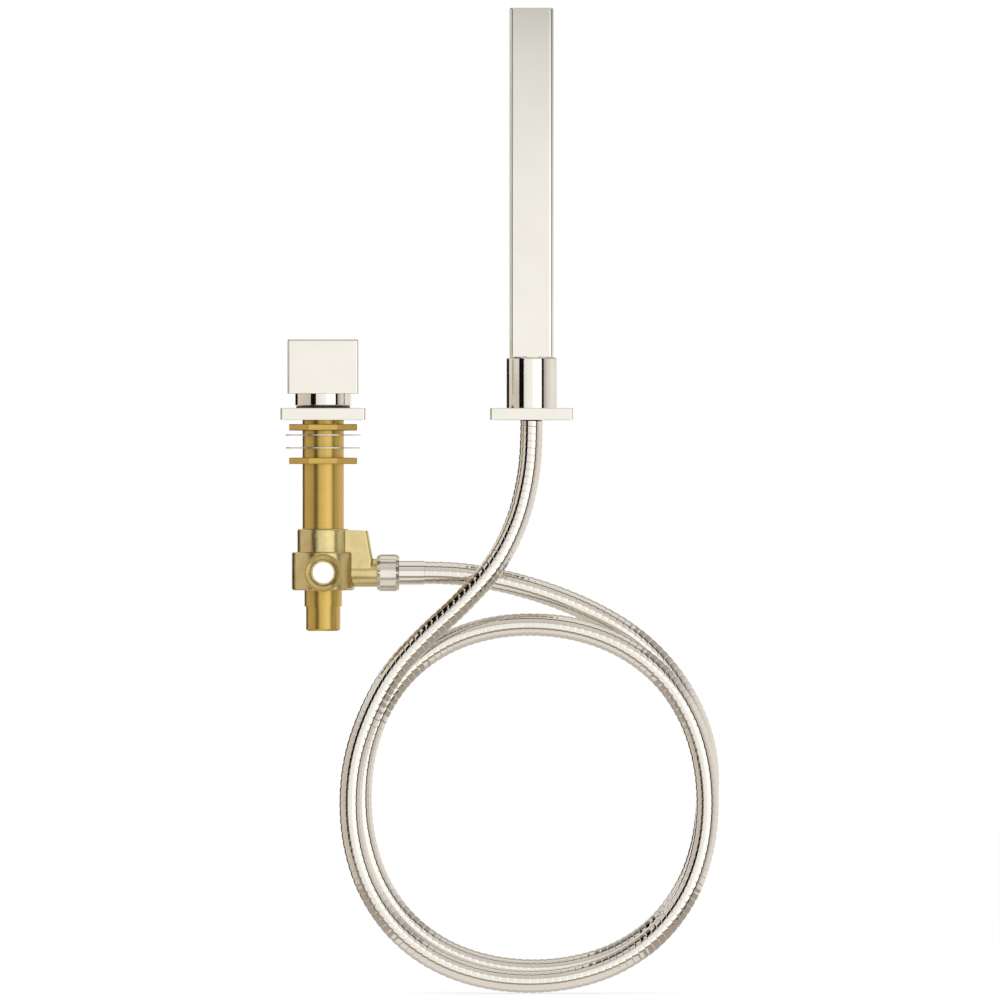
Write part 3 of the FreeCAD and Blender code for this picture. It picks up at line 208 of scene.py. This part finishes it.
# Panels round the set, as in a photographer's light box, which only reflections show. These are the
# planes that they lie in, and the edges that two or more of them share.

X, Y = 0, 1
WALL_LEFT = -0.505
WALL_RIGHT = 0.70
ROOF = 0.55
TABLE = -0.67
FRONT = -1.10
WALL_BACK = 0.80
LEFT_SLOT_FRONT = -0.93
LEFT_SLOT_BACK = -0.41
LEFT_SLOT_MIDDLE = -0.14
LEFT_SLOT_FOOT = -0.39
LEFT_BACK = 0.35
LEFT_LOW = -0.52
LEFT_MIDDLE = 0.03
LEFT_HIGH = 0.41
RIGHT_SLOT_BACK = -0.385
RIGHT_BACK = 1.4
RIGHT_LOW = -0.51
SLOT_TOP = 0.9
WALL_TOP = 0.95
WALL_FOOT = -0.9
ROOF_SLOT_FRONT = -0.372
ROOF_SLOT_BACK = -0.26
ROOF_SPLIT = -0.12
TABLE_SLOT_BACK = -0.48
TABLE_LEFT = -0.31
TABLE_RIGHT = 0.44
BOX_LEFT = -0.9
BOX_BACK = 1.0

BLACK = 0.006
PLAIN = (1.0, 1.0, 1.0)
TAN = (1.0, 0.90, 0.81)
WARM = (1.0, 0.96, 0.925)

# Each row is a name, two opposite corners, the axis along which the brightness changes, that
# brightness by place, or one number where it is even, and a tint.
PANELS = [
    ("front", (-1.5, FRONT, -1.6), (1.8, FRONT, 1.6), X,
     [(-0.70, 0.90), (-0.50, 0.96), (-0.15, 1.05), (0.0, 1.085), (0.16, 1.085), (0.40, 1.40),
      (1.0, 1.40)], PLAIN),
    ("left_slot", (WALL_LEFT, LEFT_SLOT_FRONT, LEFT_SLOT_MIDDLE),
     (WALL_LEFT, LEFT_SLOT_BACK, SLOT_TOP), Y, BLACK, WARM),
    ("left_slot_low", (WALL_LEFT, LEFT_SLOT_FRONT, LEFT_SLOT_FOOT),
     (WALL_LEFT, LEFT_SLOT_BACK, LEFT_SLOT_MIDDLE), Y,
     [(LEFT_SLOT_FRONT, 0.20), (-0.60, 0.14), (-0.57, BLACK), (LEFT_SLOT_BACK, BLACK)], TAN),
    ("left_slot_foot", (WALL_LEFT, LEFT_SLOT_FRONT, TABLE),
     (WALL_LEFT, LEFT_SLOT_BACK, LEFT_SLOT_FOOT), Y, 0.32, TAN),
    ("left", (WALL_LEFT, LEFT_SLOT_BACK, LEFT_LOW), (WALL_LEFT, LEFT_BACK, LEFT_MIDDLE), Y,
     [(LEFT_SLOT_BACK, 0.66), (-0.30, 0.68), (0.0, 0.72), (LEFT_BACK, 0.80)], TAN),
    ("left_high", (WALL_LEFT, LEFT_SLOT_BACK, LEFT_MIDDLE), (WALL_LEFT, LEFT_BACK, LEFT_HIGH), Y,
     [(LEFT_SLOT_BACK, 0.80), (LEFT_BACK, 0.85)], WARM),
    ("left_top", (WALL_LEFT, LEFT_SLOT_BACK, LEFT_HIGH), (WALL_LEFT, WALL_BACK, WALL_TOP), Y,
     [(LEFT_SLOT_BACK, BLACK), (0.22, BLACK), (0.38, 0.50), (WALL_BACK, 0.55)], WARM),
    ("left_foot", (WALL_LEFT, LEFT_SLOT_BACK, TABLE), (WALL_LEFT, 0.5, LEFT_LOW), Y, 0.46, TAN),
    ("left_back", (-1.25, WALL_BACK, WALL_FOOT), (-0.373, WALL_BACK, 0.30), X, BLACK, WARM),
    ("right_slot", (WALL_RIGHT, -0.56, WALL_FOOT), (WALL_RIGHT, RIGHT_SLOT_BACK, SLOT_TOP), Y,
     BLACK, WARM),
    ("right", (WALL_RIGHT, RIGHT_SLOT_BACK, RIGHT_LOW), (WALL_RIGHT, RIGHT_BACK, WALL_TOP), Y,
     [(RIGHT_SLOT_BACK, 0.45), (-0.24, 0.64), (-0.115, 0.80), (0.02, 0.89), (0.175, 0.97),
      (0.30, 0.92), (0.55, 0.85), (1.13, 1.0)], WARM),
    ("right_foot", (WALL_RIGHT, RIGHT_SLOT_BACK, TABLE), (WALL_RIGHT, RIGHT_BACK, RIGHT_LOW), Y,
     [(RIGHT_SLOT_BACK, 0.42), (RIGHT_BACK, 0.52)], TAN),
    ("roof_front", (BOX_LEFT, FRONT, ROOF), (WALL_RIGHT, ROOF_SLOT_FRONT, ROOF), Y,
     [(FRONT, 0.70), (ROOF_SLOT_FRONT, 0.78)], WARM),
    ("roof_slot", (WALL_LEFT, ROOF_SLOT_FRONT, ROOF), (WALL_RIGHT, ROOF_SLOT_BACK, ROOF), Y,
     0.02, WARM),
    ("roof", (ROOF_SPLIT, ROOF_SLOT_BACK, ROOF), (WALL_RIGHT, BOX_BACK, ROOF), Y,
     [(ROOF_SLOT_BACK, 0.55), (-0.15, 0.93), (0.34, 0.93), (0.50, 0.45), (BOX_BACK, 0.35)], WARM),
    ("roof_left", (BOX_LEFT, ROOF_SLOT_BACK, ROOF), (ROOF_SPLIT, BOX_BACK, ROOF), Y,
     [(ROOF_SLOT_BACK, BLACK), (0.10, BLACK), (0.22, 0.50), (BOX_BACK, 0.60)], WARM),
    ("table_slot", (BOX_LEFT, -1.0, TABLE), (1.0, TABLE_SLOT_BACK, TABLE), Y,
     [(-1.0, 1.0), (-0.93, 0.38), (-0.55, 0.35), (TABLE_SLOT_BACK, 0.65)], TAN),
    ("table", (TABLE_LEFT, TABLE_SLOT_BACK, TABLE), (TABLE_RIGHT, BOX_BACK, TABLE), Y,
     [(TABLE_SLOT_BACK, 0.80), (-0.38, 0.90), (0.0, 0.92), (0.10, 0.68), (BOX_BACK, 0.50)], WARM),
    ("table_left", (BOX_LEFT, TABLE_SLOT_BACK, TABLE), (TABLE_LEFT, BOX_BACK, TABLE), Y,
     [(TABLE_SLOT_BACK, 0.46), (BOX_BACK, 0.50)], TAN),
    ("table_right", (TABLE_RIGHT, TABLE_SLOT_BACK, TABLE), (1.2, BOX_BACK, TABLE), Y,
     [(TABLE_SLOT_BACK, 0.42), (BOX_BACK, 0.52)], TAN),
]

# The share of their brightness that two of the panels keep, by height.
RISES = {
    "front": [(-0.36, 1.0), (0.07, 1.0), (0.135, 0.965), (0.19, 0.905), (0.245, 0.80),
              (0.30, 0.55), (0.42, 0.50), (0.52, 0.70), (1.0, 0.75)],
    "right": [(RIGHT_LOW, 1.0), (0.06, 1.0), (0.16, 0.8), (0.30, 0.5), (WALL_TOP, 0.4)],
}


def panel_glow(tree, name, along, stops, tint):
    """The panel's own light, graded along one axis and for some panels also by height."""
    split = tree.add("ShaderNodeSeparateXYZ", {"Vector": tree.place()}).node
    tinted = [(at, tuple(level * part for part in tint)) for at, level in stops]
    inputs = {"Color": tree.graded(split.outputs[along], tinted)}
    if name in RISES:
        rise = [(at, (level, level, level)) for at, level in RISES[name]]
        inputs["Strength"] = tree.graded(split.outputs["Z"], rise)
    return tree.add("ShaderNodeEmission", inputs)


def add_panel(name, low, high, along, brightness, tint):
    panel = add_flat(name, low, high)
    stops = brightness
    if not isinstance(brightness, list):
        stops = [(low[along], brightness), (high[along], brightness)]
    material, tree = new_material(name)
    tree.output("ShaderNodeOutputMaterial", panel_glow(tree, name, along, stops, tint))
    material.cycles.emission_sampling = "NONE"
    panel.data.materials.append(material)
    panel.visible_camera = False
    panel.visible_diffuse = False
    panel.visible_transmission = False
    panel.visible_volume_scatter = False
    panel.visible_shadow = False


# Lamp, which only matt surfaces and shadows show

LAMP_PLACE = Vector((-0.9, -1.6, 1.1))
LAMP_AIM = Vector((0.1, 0, 0))
LAMP_SIZE = 1.2
LAMP_POWER = 12


def add_lamp():
    data = bpy.data.lights.new("key", "AREA")
    data.size = LAMP_SIZE
    data.energy = LAMP_POWER
    lamp = bpy.data.objects.new("key", data)
    lamp.location = LAMP_PLACE
    lamp.rotation_euler = (LAMP_AIM - LAMP_PLACE).to_track_quat("-Z", "Y").to_euler()
    lamp.visible_glossy = False
    scene.collection.objects.link(lamp)


# Floor: wide and pale, just under the hose's lowest turn, and left out of reflections

FLOOR_GAP = 0.0005
FLOOR_REACH = 6
FLOOR_GREY = 0.95
FLOOR_GLOW = 1.08
FLOOR_GLOW_SHARE = 0.6


def add_floor():
    z = cad_low.z - FLOOR_GAP
    floor = add_flat("floor", (-FLOOR_REACH, -FLOOR_REACH, z), (FLOOR_REACH, FLOOR_REACH, z))
    floor.visible_glossy = False
    material, tree = new_material("floor")
    seen = tree.add("ShaderNodeLightPath").node
    shade = tree.add("ShaderNodeBsdfDiffuse", {"Color": (FLOOR_GREY, FLOOR_GREY, FLOOR_GREY, 1)})
    white = tree.add("ShaderNodeEmission", {"Color": (1, 1, 1, 1), "Strength": FLOOR_GLOW})
    share = tree.math("MULTIPLY", seen.outputs["Is Camera Ray"], FLOOR_GLOW_SHARE)
    share = tree.math("MAXIMUM", share, seen.outputs["Is Transmission Ray"])
    tree.output(
        "ShaderNodeOutputMaterial", tree.add("ShaderNodeMixShader", {0: share, 1: shade, 2: white})
    )
    floor.data.materials.append(material)


# Hose: its line runs from the valve through LEAD_IN, round the ring, and through LEAD_OUT to the
# holder. Angles are in degrees, clockwise from the right as the camera sees it.

TURN_STEPS = 24
RING_START = 2.0
RING_END = 570.0
BACK_CENTRE = Vector((0.1288, 0.0077, -0.2310))
FRONT_CENTRE = Vector((0.1260, -0.0079, -0.2344))
BACK_RADIUS = 0.1084
FRONT_RADIUS = 0.1115
RING_LOBE = 0.0017
CROSS_START = 214.0
CROSS_END = 306.0
LEAD_IN = [
    (0.06190, 0.0, PORT_Z),
    (0.07790, 0.0, PORT_Z),
    (0.0990, 0.0024, -0.0962),
    (0.1220, 0.0043, -0.1014),
    (0.1460, 0.0058, -0.1093),
    (0.1704, 0.0069, -0.1202),
    (0.1935, 0.0075, -0.1350),
    (0.2129, 0.0077, -0.1550),
    (0.2273, 0.0077, -0.1789),
    (0.2353, 0.0077, -0.2055),
]
LEAD_OUT = [
    (0.0423, -0.0087, -0.1538),
    (0.0633, -0.0114, -0.1311),
    (0.0857, -0.0133, -0.1113),
    (0.1060, -0.0131, -0.0887),
    (0.1194, -0.0094, -0.0618),
    (0.1258, -0.0040, -0.0346),
    (HOLDER_X, 0.0, -0.0130),
    (HOLDER_X, 0.0, 0.0030),
]
CURVE_ORDER = 3
CURVE_STEPS = 48
DIRECTION_REACH = 0.0012
PATH_STEPS = 400

# The tube's ribs fade out over CALM at both ends.
HOSE_RADIUS = 0.00705
HOSE_BORE = 0.0042
HOSE_PITCH = 0.0046
HOSE_SIDES = 32
BORE_RINGS = 160
CALM = 0.0025

# One rib of the wound strip: place along the pitch, depth below the crest as a share of RIB_RISE,
# and the lean of its shine. The strip's polish runs on over the ribs, and only the narrow joint
# between two of them catches the light from the side. Of the hose's own slant towards the viewer,
# the shine follows the share SHINE_SLANT, so its streaks run on from end to end.
RIB_RISE = 0.00050
RIB = [
    (0.00, 1.00, 0.0), (0.04, 0.62, 0.18), (0.12, 0.30, 0.040), (0.28, 0.08, 0.018),
    (0.50, 0.00, 0.0), (0.72, 0.08, -0.018), (0.88, 0.30, -0.040), (0.96, 0.62, -0.18),
]
SHINE_SLANT = 0.25

# Points of a mesh that lie closer than MERGE_REACH become one, and shorter edges and thinner faces
# than EMPTY_REACH are dissolved.
MERGE_REACH = 2e-6
EMPTY_REACH = 1e-7


def eased(share):
    share = min(max(share, 0.0), 1.0)
    return share * share * (3 - 2 * share)


def ring_point(angle):
    """A point of the loose turns, first behind and then in front."""
    passed = eased((angle - CROSS_START) / (CROSS_END - CROSS_START))
    centre = BACK_CENTRE.lerp(FRONT_CENTRE, passed)
    radius = BACK_RADIUS * (1 - passed) + FRONT_RADIUS * passed
    radius += RING_LOBE * math.cos(math.radians(4 * (angle - 45)))
    turn = math.radians(angle)
    return centre + Vector((math.cos(turn), 0, -math.sin(turn))) * radius


def hose_route():
    """The control points of the hose's line."""
    count = round((RING_END - RING_START) / 360 * TURN_STEPS)
    step = (RING_END - RING_START) / count
    ring = [tuple(ring_point(RING_START + step * k)) for k in range(count + 1)]
    return LEAD_IN + ring + LEAD_OUT


def hose_points():
    """Close points along the hose's smooth line."""
    route = hose_route()
    curve = bpy.data.curves.new("hose_line", "CURVE")
    curve.dimensions = "3D"
    spline = curve.splines.new("NURBS")
    spline.points.add(len(route) - 1)
    for point, place in zip(spline.points, route):
        point.co = (*place, 1)
    spline.order_u = CURVE_ORDER
    spline.use_endpoint_u = True
    spline.resolution_u = CURVE_STEPS
    holder = bpy.data.objects.new("hose_line", curve)
    scene.collection.objects.link(holder)
    line = bpy.data.meshes.new_from_object(holder)
    points = [vertex.co.copy() for vertex in line.vertices]
    bpy.data.objects.remove(holder)
    bpy.data.meshes.remove(line)
    bpy.data.curves.remove(curve)
    return points


class Line:
    """A polyline that can be read by the distance from its start."""

    def __init__(self, points):
        self.points = points
        self.reach = [0.0]
        for a, b in zip(points, points[1:]):
            self.reach.append(self.reach[-1] + (b - a).length)
        self.length = self.reach[-1]
        self.at = 0

    def place(self, distance):
        distance = min(max(distance, 0.0), self.length)
        while self.at < len(self.points) - 2 and self.reach[self.at + 1] < distance:
            self.at += 1
        while self.at > 0 and self.reach[self.at] > distance:
            self.at -= 1
        low, high = self.reach[self.at], self.reach[self.at + 1]
        return self.points[self.at].lerp(self.points[self.at + 1], (distance - low) / (high - low))

    def direction(self, distance):
        behind = self.place(distance - DIRECTION_REACH)
        return (self.place(distance + DIRECTION_REACH) - behind).normalized()


def new_piece(name, bm, crease=None):
    """A smooth piece from a mesh, with sharp edges where it turns by more than the crease."""
    mesh = bpy.data.meshes.new(name)
    bm.to_mesh(mesh)
    bm.free()
    mesh.shade_smooth()
    if crease:
        mesh.set_sharp_from_angle(angle=math.radians(crease))
    piece = bpy.data.objects.new(name, mesh)
    scene.collection.objects.link(piece)
    return piece


def skin(bm, rows):
    """Join rows of points, and the last row to the first, into one closed sheet."""
    for low, high in zip(rows, rows[1:] + rows[:1]):
        for side in range(len(low) - 1):
            bm.faces.new((low[side], low[side + 1], high[side + 1], high[side]))
    bmesh.ops.remove_doubles(bm, verts=bm.verts, dist=MERGE_REACH)
    bmesh.ops.dissolve_degenerate(bm, dist=EMPTY_REACH, edges=bm.edges)
    loose = [vertex for vertex in bm.verts if not vertex.link_faces]
    bmesh.ops.delete(bm, geom=loose, context="VERTS")


def spoke(forward, angle):
    """The direction square to another one, at an angle round it from the back."""
    behind = Vector((0, 1, 0))
    behind = (behind - forward * behind.dot(forward)).normalized()
    return behind * math.cos(angle) + forward.cross(behind) * math.sin(angle)


def hose_ring(bm, line, start, lean=0.0, depth=0.0, slope=0.0, bore=None):
    """A row of points round the hose, with what its shine faces; it may lean along the line."""
    shine = bm.verts.layers.float_vector["shine"]
    row = []
    for side in range(HOSE_SIDES + 1):
        turn = side / HOSE_SIDES
        angle = turn * 2 * math.pi
        distance = min(max(start + lean * (1 - turn), 0.0), line.length)
        ease = min(distance, line.length - distance, CALM) / CALM
        forward = line.direction(distance)
        outward = spoke(forward, angle)
        radius = bore or HOSE_RADIUS - depth * ease
        vertex = bm.verts.new(line.place(distance) + outward * radius)
        flat = Vector((forward.x, forward.y * SHINE_SLANT, forward.z)).normalized()
        facing = (spoke(flat, angle) - flat * slope * ease).normalized()
        vertex[shine] = -outward if bore else facing
        row.append(vertex)
    return row


def hose_rows(bm, line):
    """The rows over the ribs and back through the bore; each leans by one pitch per turn."""
    ribs = round(line.length / HOSE_PITCH)
    pitch = line.length / ribs
    rows = [hose_ring(bm, line, 0.0)]
    for rib in range(-1, ribs + 1):
        for share, depth, slope in RIB:
            start = (rib + share) * pitch
            if start + pitch > 0 and start < line.length:
                rows.append(hose_ring(bm, line, start, pitch, depth * RIB_RISE, slope))
    rows.append(hose_ring(bm, line, line.length))
    for step in range(BORE_RINGS, -1, -1):
        rows.append(hose_ring(bm, line, line.length * step / BORE_RINGS, bore=HOSE_BORE))
    return rows


def set_shine(piece):
    """Turn the layer of what the shine faces into the mesh's own normals."""
    facings = [tuple(item.vector) for item in piece.data.attributes["shine"].data]
    piece.data.normals_split_custom_set_from_vertices(facings)
    piece.data.attributes.remove(piece.data.attributes["shine"])


def add_hose():
    line = Line(hose_points())
    bm = bmesh.new()
    bm.verts.layers.float_vector.new("shine")
    skin(bm, hose_rows(bm, line))
    hose = new_piece("hose", bm)
    set_shine(hose)
    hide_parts("shower_hose")
    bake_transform(hose)
    path = [line.place(line.length * k / PATH_STEPS) for k in range(PATH_STEPS + 1)]
    return hose


# Ports: pipe thread inside, and a face with the rings that the cutter leaves. THREAD has the places
# along the pitch and the heights of the ridge there, as a share of THREAD_HEIGHT.

PORT_FACE = 0.0210
PORT_SIDES = 72
PORT_CREASE = 25
SLEEVE_RADIUS = 0.00838
THREAD_ROOT = 0.00830
THREAD_HEIGHT = 0.00075
THREAD_PITCH = 0.00134
THREAD_START = 0.0009
THREAD_END = 0.0092
THREAD = [(0.0, 0.0), (0.12, 0.0), (0.45, 1.0), (0.55, 1.0), (0.88, 0.0)]
MARK_INNER = 0.0101
MARK_OUTER = 0.0116
MARK_COUNT = 7
MARK_RISE = 0.00004
MARK_ROOT = 0.00005


def port_ring(bm, side, start, lean, radius):
    """A row of points round a port's axis, at a depth behind its face."""
    row = []
    for step in range(PORT_SIDES + 1):
        turn = step / PORT_SIDES
        depth = start + lean * (1 - turn)
        reach = radius
        if lean:
            depth = min(max(depth, THREAD_START), THREAD_END)
            ease = min(depth - THREAD_START, THREAD_END - depth, THREAD_PITCH) / THREAD_PITCH
            reach = THREAD_ROOT + (radius - THREAD_ROOT) * ease
        angle = turn * 2 * math.pi
        x, z = math.cos(angle) * reach, math.sin(angle) * reach
        row.append(bm.verts.new((x, side * (PORT_FACE - depth), PORT_Z + z)))
    return row


def add_port_piece(name, bm, rows):
    skin(bm, rows)
    bmesh.ops.recalc_face_normals(bm, faces=bm.faces)
    piece = new_piece(name, bm, PORT_CREASE)
    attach(piece, "base")
    return piece


def add_port_thread(name, side):
    """A sleeve with the thread's spiral ridge inside, fading out at both ends."""
    bm = bmesh.new()
    rows = [port_ring(bm, side, THREAD_START, 0, SLEEVE_RADIUS)]
    turns = round((THREAD_END - THREAD_START) / THREAD_PITCH)
    for turn in range(-1, turns + 1):
        for share, height in THREAD:
            start = THREAD_START + (turn + share) * THREAD_PITCH
            radius = THREAD_ROOT - height * THREAD_HEIGHT
            rows.append(port_ring(bm, side, start, THREAD_PITCH, radius))
    rows.append(port_ring(bm, side, THREAD_END, 0, SLEEVE_RADIUS))
    return add_port_piece(name, bm, rows)


def add_port_face(name, side):
    """Shallow rings round the mouth of a port, which spread its shine."""
    bm = bmesh.new()
    rows = [port_ring(bm, side, MARK_ROOT, 0, MARK_INNER)]
    count = MARK_COUNT * 2
    for step in range(count + 1):
        radius = MARK_INNER + (MARK_OUTER - MARK_INNER) * step / count
        rows.append(port_ring(bm, side, -MARK_RISE * (step % 2), 0, radius))
    rows.append(port_ring(bm, side, MARK_ROOT, 0, MARK_OUTER))
    return add_port_piece(name, bm, rows)


# Materials. Each kind takes the two ends of its colour, the two ends of its roughness, and one
# measure of its relief: a height in metres, or for the matt ones how fine the grain is.

DENT_DEPTH = 3
GRAIN_HEIGHT = 0.00002


def coat(tree, colour, roughness, normal, metallic=1.0):
    """Finish a material with its surface."""
    inputs = {
        "Base Color": colour, "Metallic": metallic, "Roughness": roughness, "Normal": normal
    }
    tree.output("ShaderNodeOutputMaterial", tree.add("ShaderNodeBsdfPrincipled", inputs))


def polished_nickel(name, colours, roughness, wave):
    """Mirror plate with faint clouds in its colour and polish."""
    material, tree = new_material(name)
    where = tree.place()
    colour = tree.mixed(tree.noise(where, scale=55.0), colours, edge=0.35)
    wipe = tree.streaks(where, (900.0, 900.0, 60.0), detail=4.0)
    ripple = tree.noise(where, scale=260.0, detail=2.0)
    coat(tree, colour, tree.between(wipe, roughness), tree.bump(ripple, wave))
    return material


def turned_brass(name, colours, roughness, groove):
    """Bright brass with the fine rings that a lathe leaves round the Z axis."""
    material, tree = new_material(name)
    where = tree.place()
    rings = tree.streaks(where, (12.0, 12.0, 2600.0))
    clouds = tree.noise(where, scale=90.0)
    both = tree.math("ADD", tree.math("MULTIPLY", rings, 0.6), tree.math("MULTIPLY", clouds, 0.4))
    colour = tree.mixed(both, colours)
    coat(tree, colour, tree.between(both, roughness), tree.bump(rings, groove))
    return material


def cast_brass(name, colours, roughness, pit):
    """Dull tumbled casting: a fine grain on coarse dents that are DENT_DEPTH times as deep."""
    material, tree = new_material(name)
    where = tree.place()
    grain = tree.noise(where, scale=1500.0, detail=4.0, roughness=0.6)
    colour = tree.mixed(tree.noise(where, scale=120.0, detail=4.0), colours)
    dents = tree.bump(tree.noise(where, scale=260.0), pit * DENT_DEPTH)
    coat(tree, colour, tree.between(grain, roughness), tree.bump(grain, pit, Normal=dents))
    return material


def stamped_steel(name, colours, roughness, scratch):
    """Steel with the streaks of the strip that it was stamped from."""
    material, tree = new_material(name)
    streaks = tree.streaks(tree.place(), (60.0, 2200.0, 2200.0))
    colour = tree.mixed(streaks, colours)
    coat(tree, colour, tree.between(streaks, roughness), tree.bump(streaks, scratch))
    return material


def matt(name, colours, roughness, fineness):
    """Rubber, ceramic and moulded plastic: a fine even grain."""
    material, tree = new_material(name)
    where = tree.place()
    grain = tree.noise(where, scale=fineness, detail=4.0, roughness=0.6)
    colour = tree.mixed(tree.noise(where, scale=60.0, detail=2.0), colours)
    normal = tree.bump(grain, GRAIN_HEIGHT)
    coat(tree, colour, tree.between(grain, roughness), normal, metallic=0.0)
    return material


NICKEL = ((0.815, 0.785, 0.71), (0.84, 0.81, 0.735))
HOSE_NICKEL = ((0.775, 0.735, 0.67), (0.80, 0.76, 0.69))
SATIN_NICKEL = ((0.79, 0.74, 0.655), (0.85, 0.80, 0.71))
BRASS = ((0.585, 0.40, 0.105), (0.655, 0.455, 0.13))
CASTING = ((0.63, 0.515, 0.235), (0.73, 0.605, 0.30))
BRIGHT_STEEL = ((0.55, 0.55, 0.54), (0.68, 0.67, 0.65))
DARK_STEEL = ((0.08, 0.08, 0.085), (0.14, 0.14, 0.15))
BLACK_PLASTIC = ((0.012, 0.012, 0.012), (0.022, 0.022, 0.022))
BLACK_RUBBER = ((0.015, 0.015, 0.015), (0.030, 0.030, 0.030))
CERAMIC = ((0.80, 0.79, 0.76), (0.86, 0.85, 0.82))
WHITE_PLASTIC = ((0.72, 0.72, 0.70), (0.78, 0.78, 0.76))
GREY_PLASTIC = ((0.030, 0.030, 0.032), (0.045, 0.045, 0.047))
GREY_RUBBER = ((0.22, 0.22, 0.22), (0.28, 0.28, 0.28))
MATERIALS = {
    "polished_nickel": (polished_nickel, NICKEL, (0.045, 0.085), 0.000004),
    "hose_nickel": (polished_nickel, HOSE_NICKEL, (0.035, 0.06), 0.000003),
    "hidden_nickel": (polished_nickel, NICKEL, (0.14, 0.22), 0.000008),
    "satin_nickel": (polished_nickel, SATIN_NICKEL, (0.17, 0.25), 0.00001),
    "turned_brass": (turned_brass, BRASS, (0.27, 0.33), 0.000007),
    "plain_brass": (turned_brass, BRASS, (0.28, 0.38), 0.00001),
    "cast_brass": (cast_brass, CASTING, (0.21, 0.29), 0.00004),
    "washer_steel": (stamped_steel, BRIGHT_STEEL, (0.22, 0.34), 0.00001),
    "dark_steel": (stamped_steel, DARK_STEEL, (0.30, 0.45), 0.00001),
    "black_plastic": (matt, BLACK_PLASTIC, (0.40, 0.55), 1800.0),
    "black_rubber": (matt, BLACK_RUBBER, (0.60, 0.75), 1800.0),
    "disc_ceramic": (matt, CERAMIC, (0.18, 0.26), 2500.0),
    "white_plastic": (matt, WHITE_PLASTIC, (0.35, 0.48), 1500.0),
    "liner_plastic": (matt, GREY_PLASTIC, (0.40, 0.55), 1500.0),
    "nozzle_rubber": (matt, GREY_RUBBER, (0.50, 0.62), 1600.0),
}


def dress(materials):
    """Give each CAD node the material of its slot in the record."""
    for entry in frame["record"]["subparts"]:
        for slot in nodes[entry["node"]].material_slots:
            slot.material = materials[entry["material_slot"]]


add_camera()
add_world()
for row in PANELS:
    add_panel(*row)
add_floor()
add_lamp()
materials = {name: make(name, *values) for name, (make, *values) in MATERIALS.items()}
dress(materials)
add_hose().data.materials.append(materials["hose_nickel"])
for place, side in (("front", -1), ("back", 1)):
    for piece in (
        add_port_thread("port_thread_" + place, side),
        add_port_face("port_face_" + place, side),
    ):
        piece.data.materials.append(materials["plain_brass"])
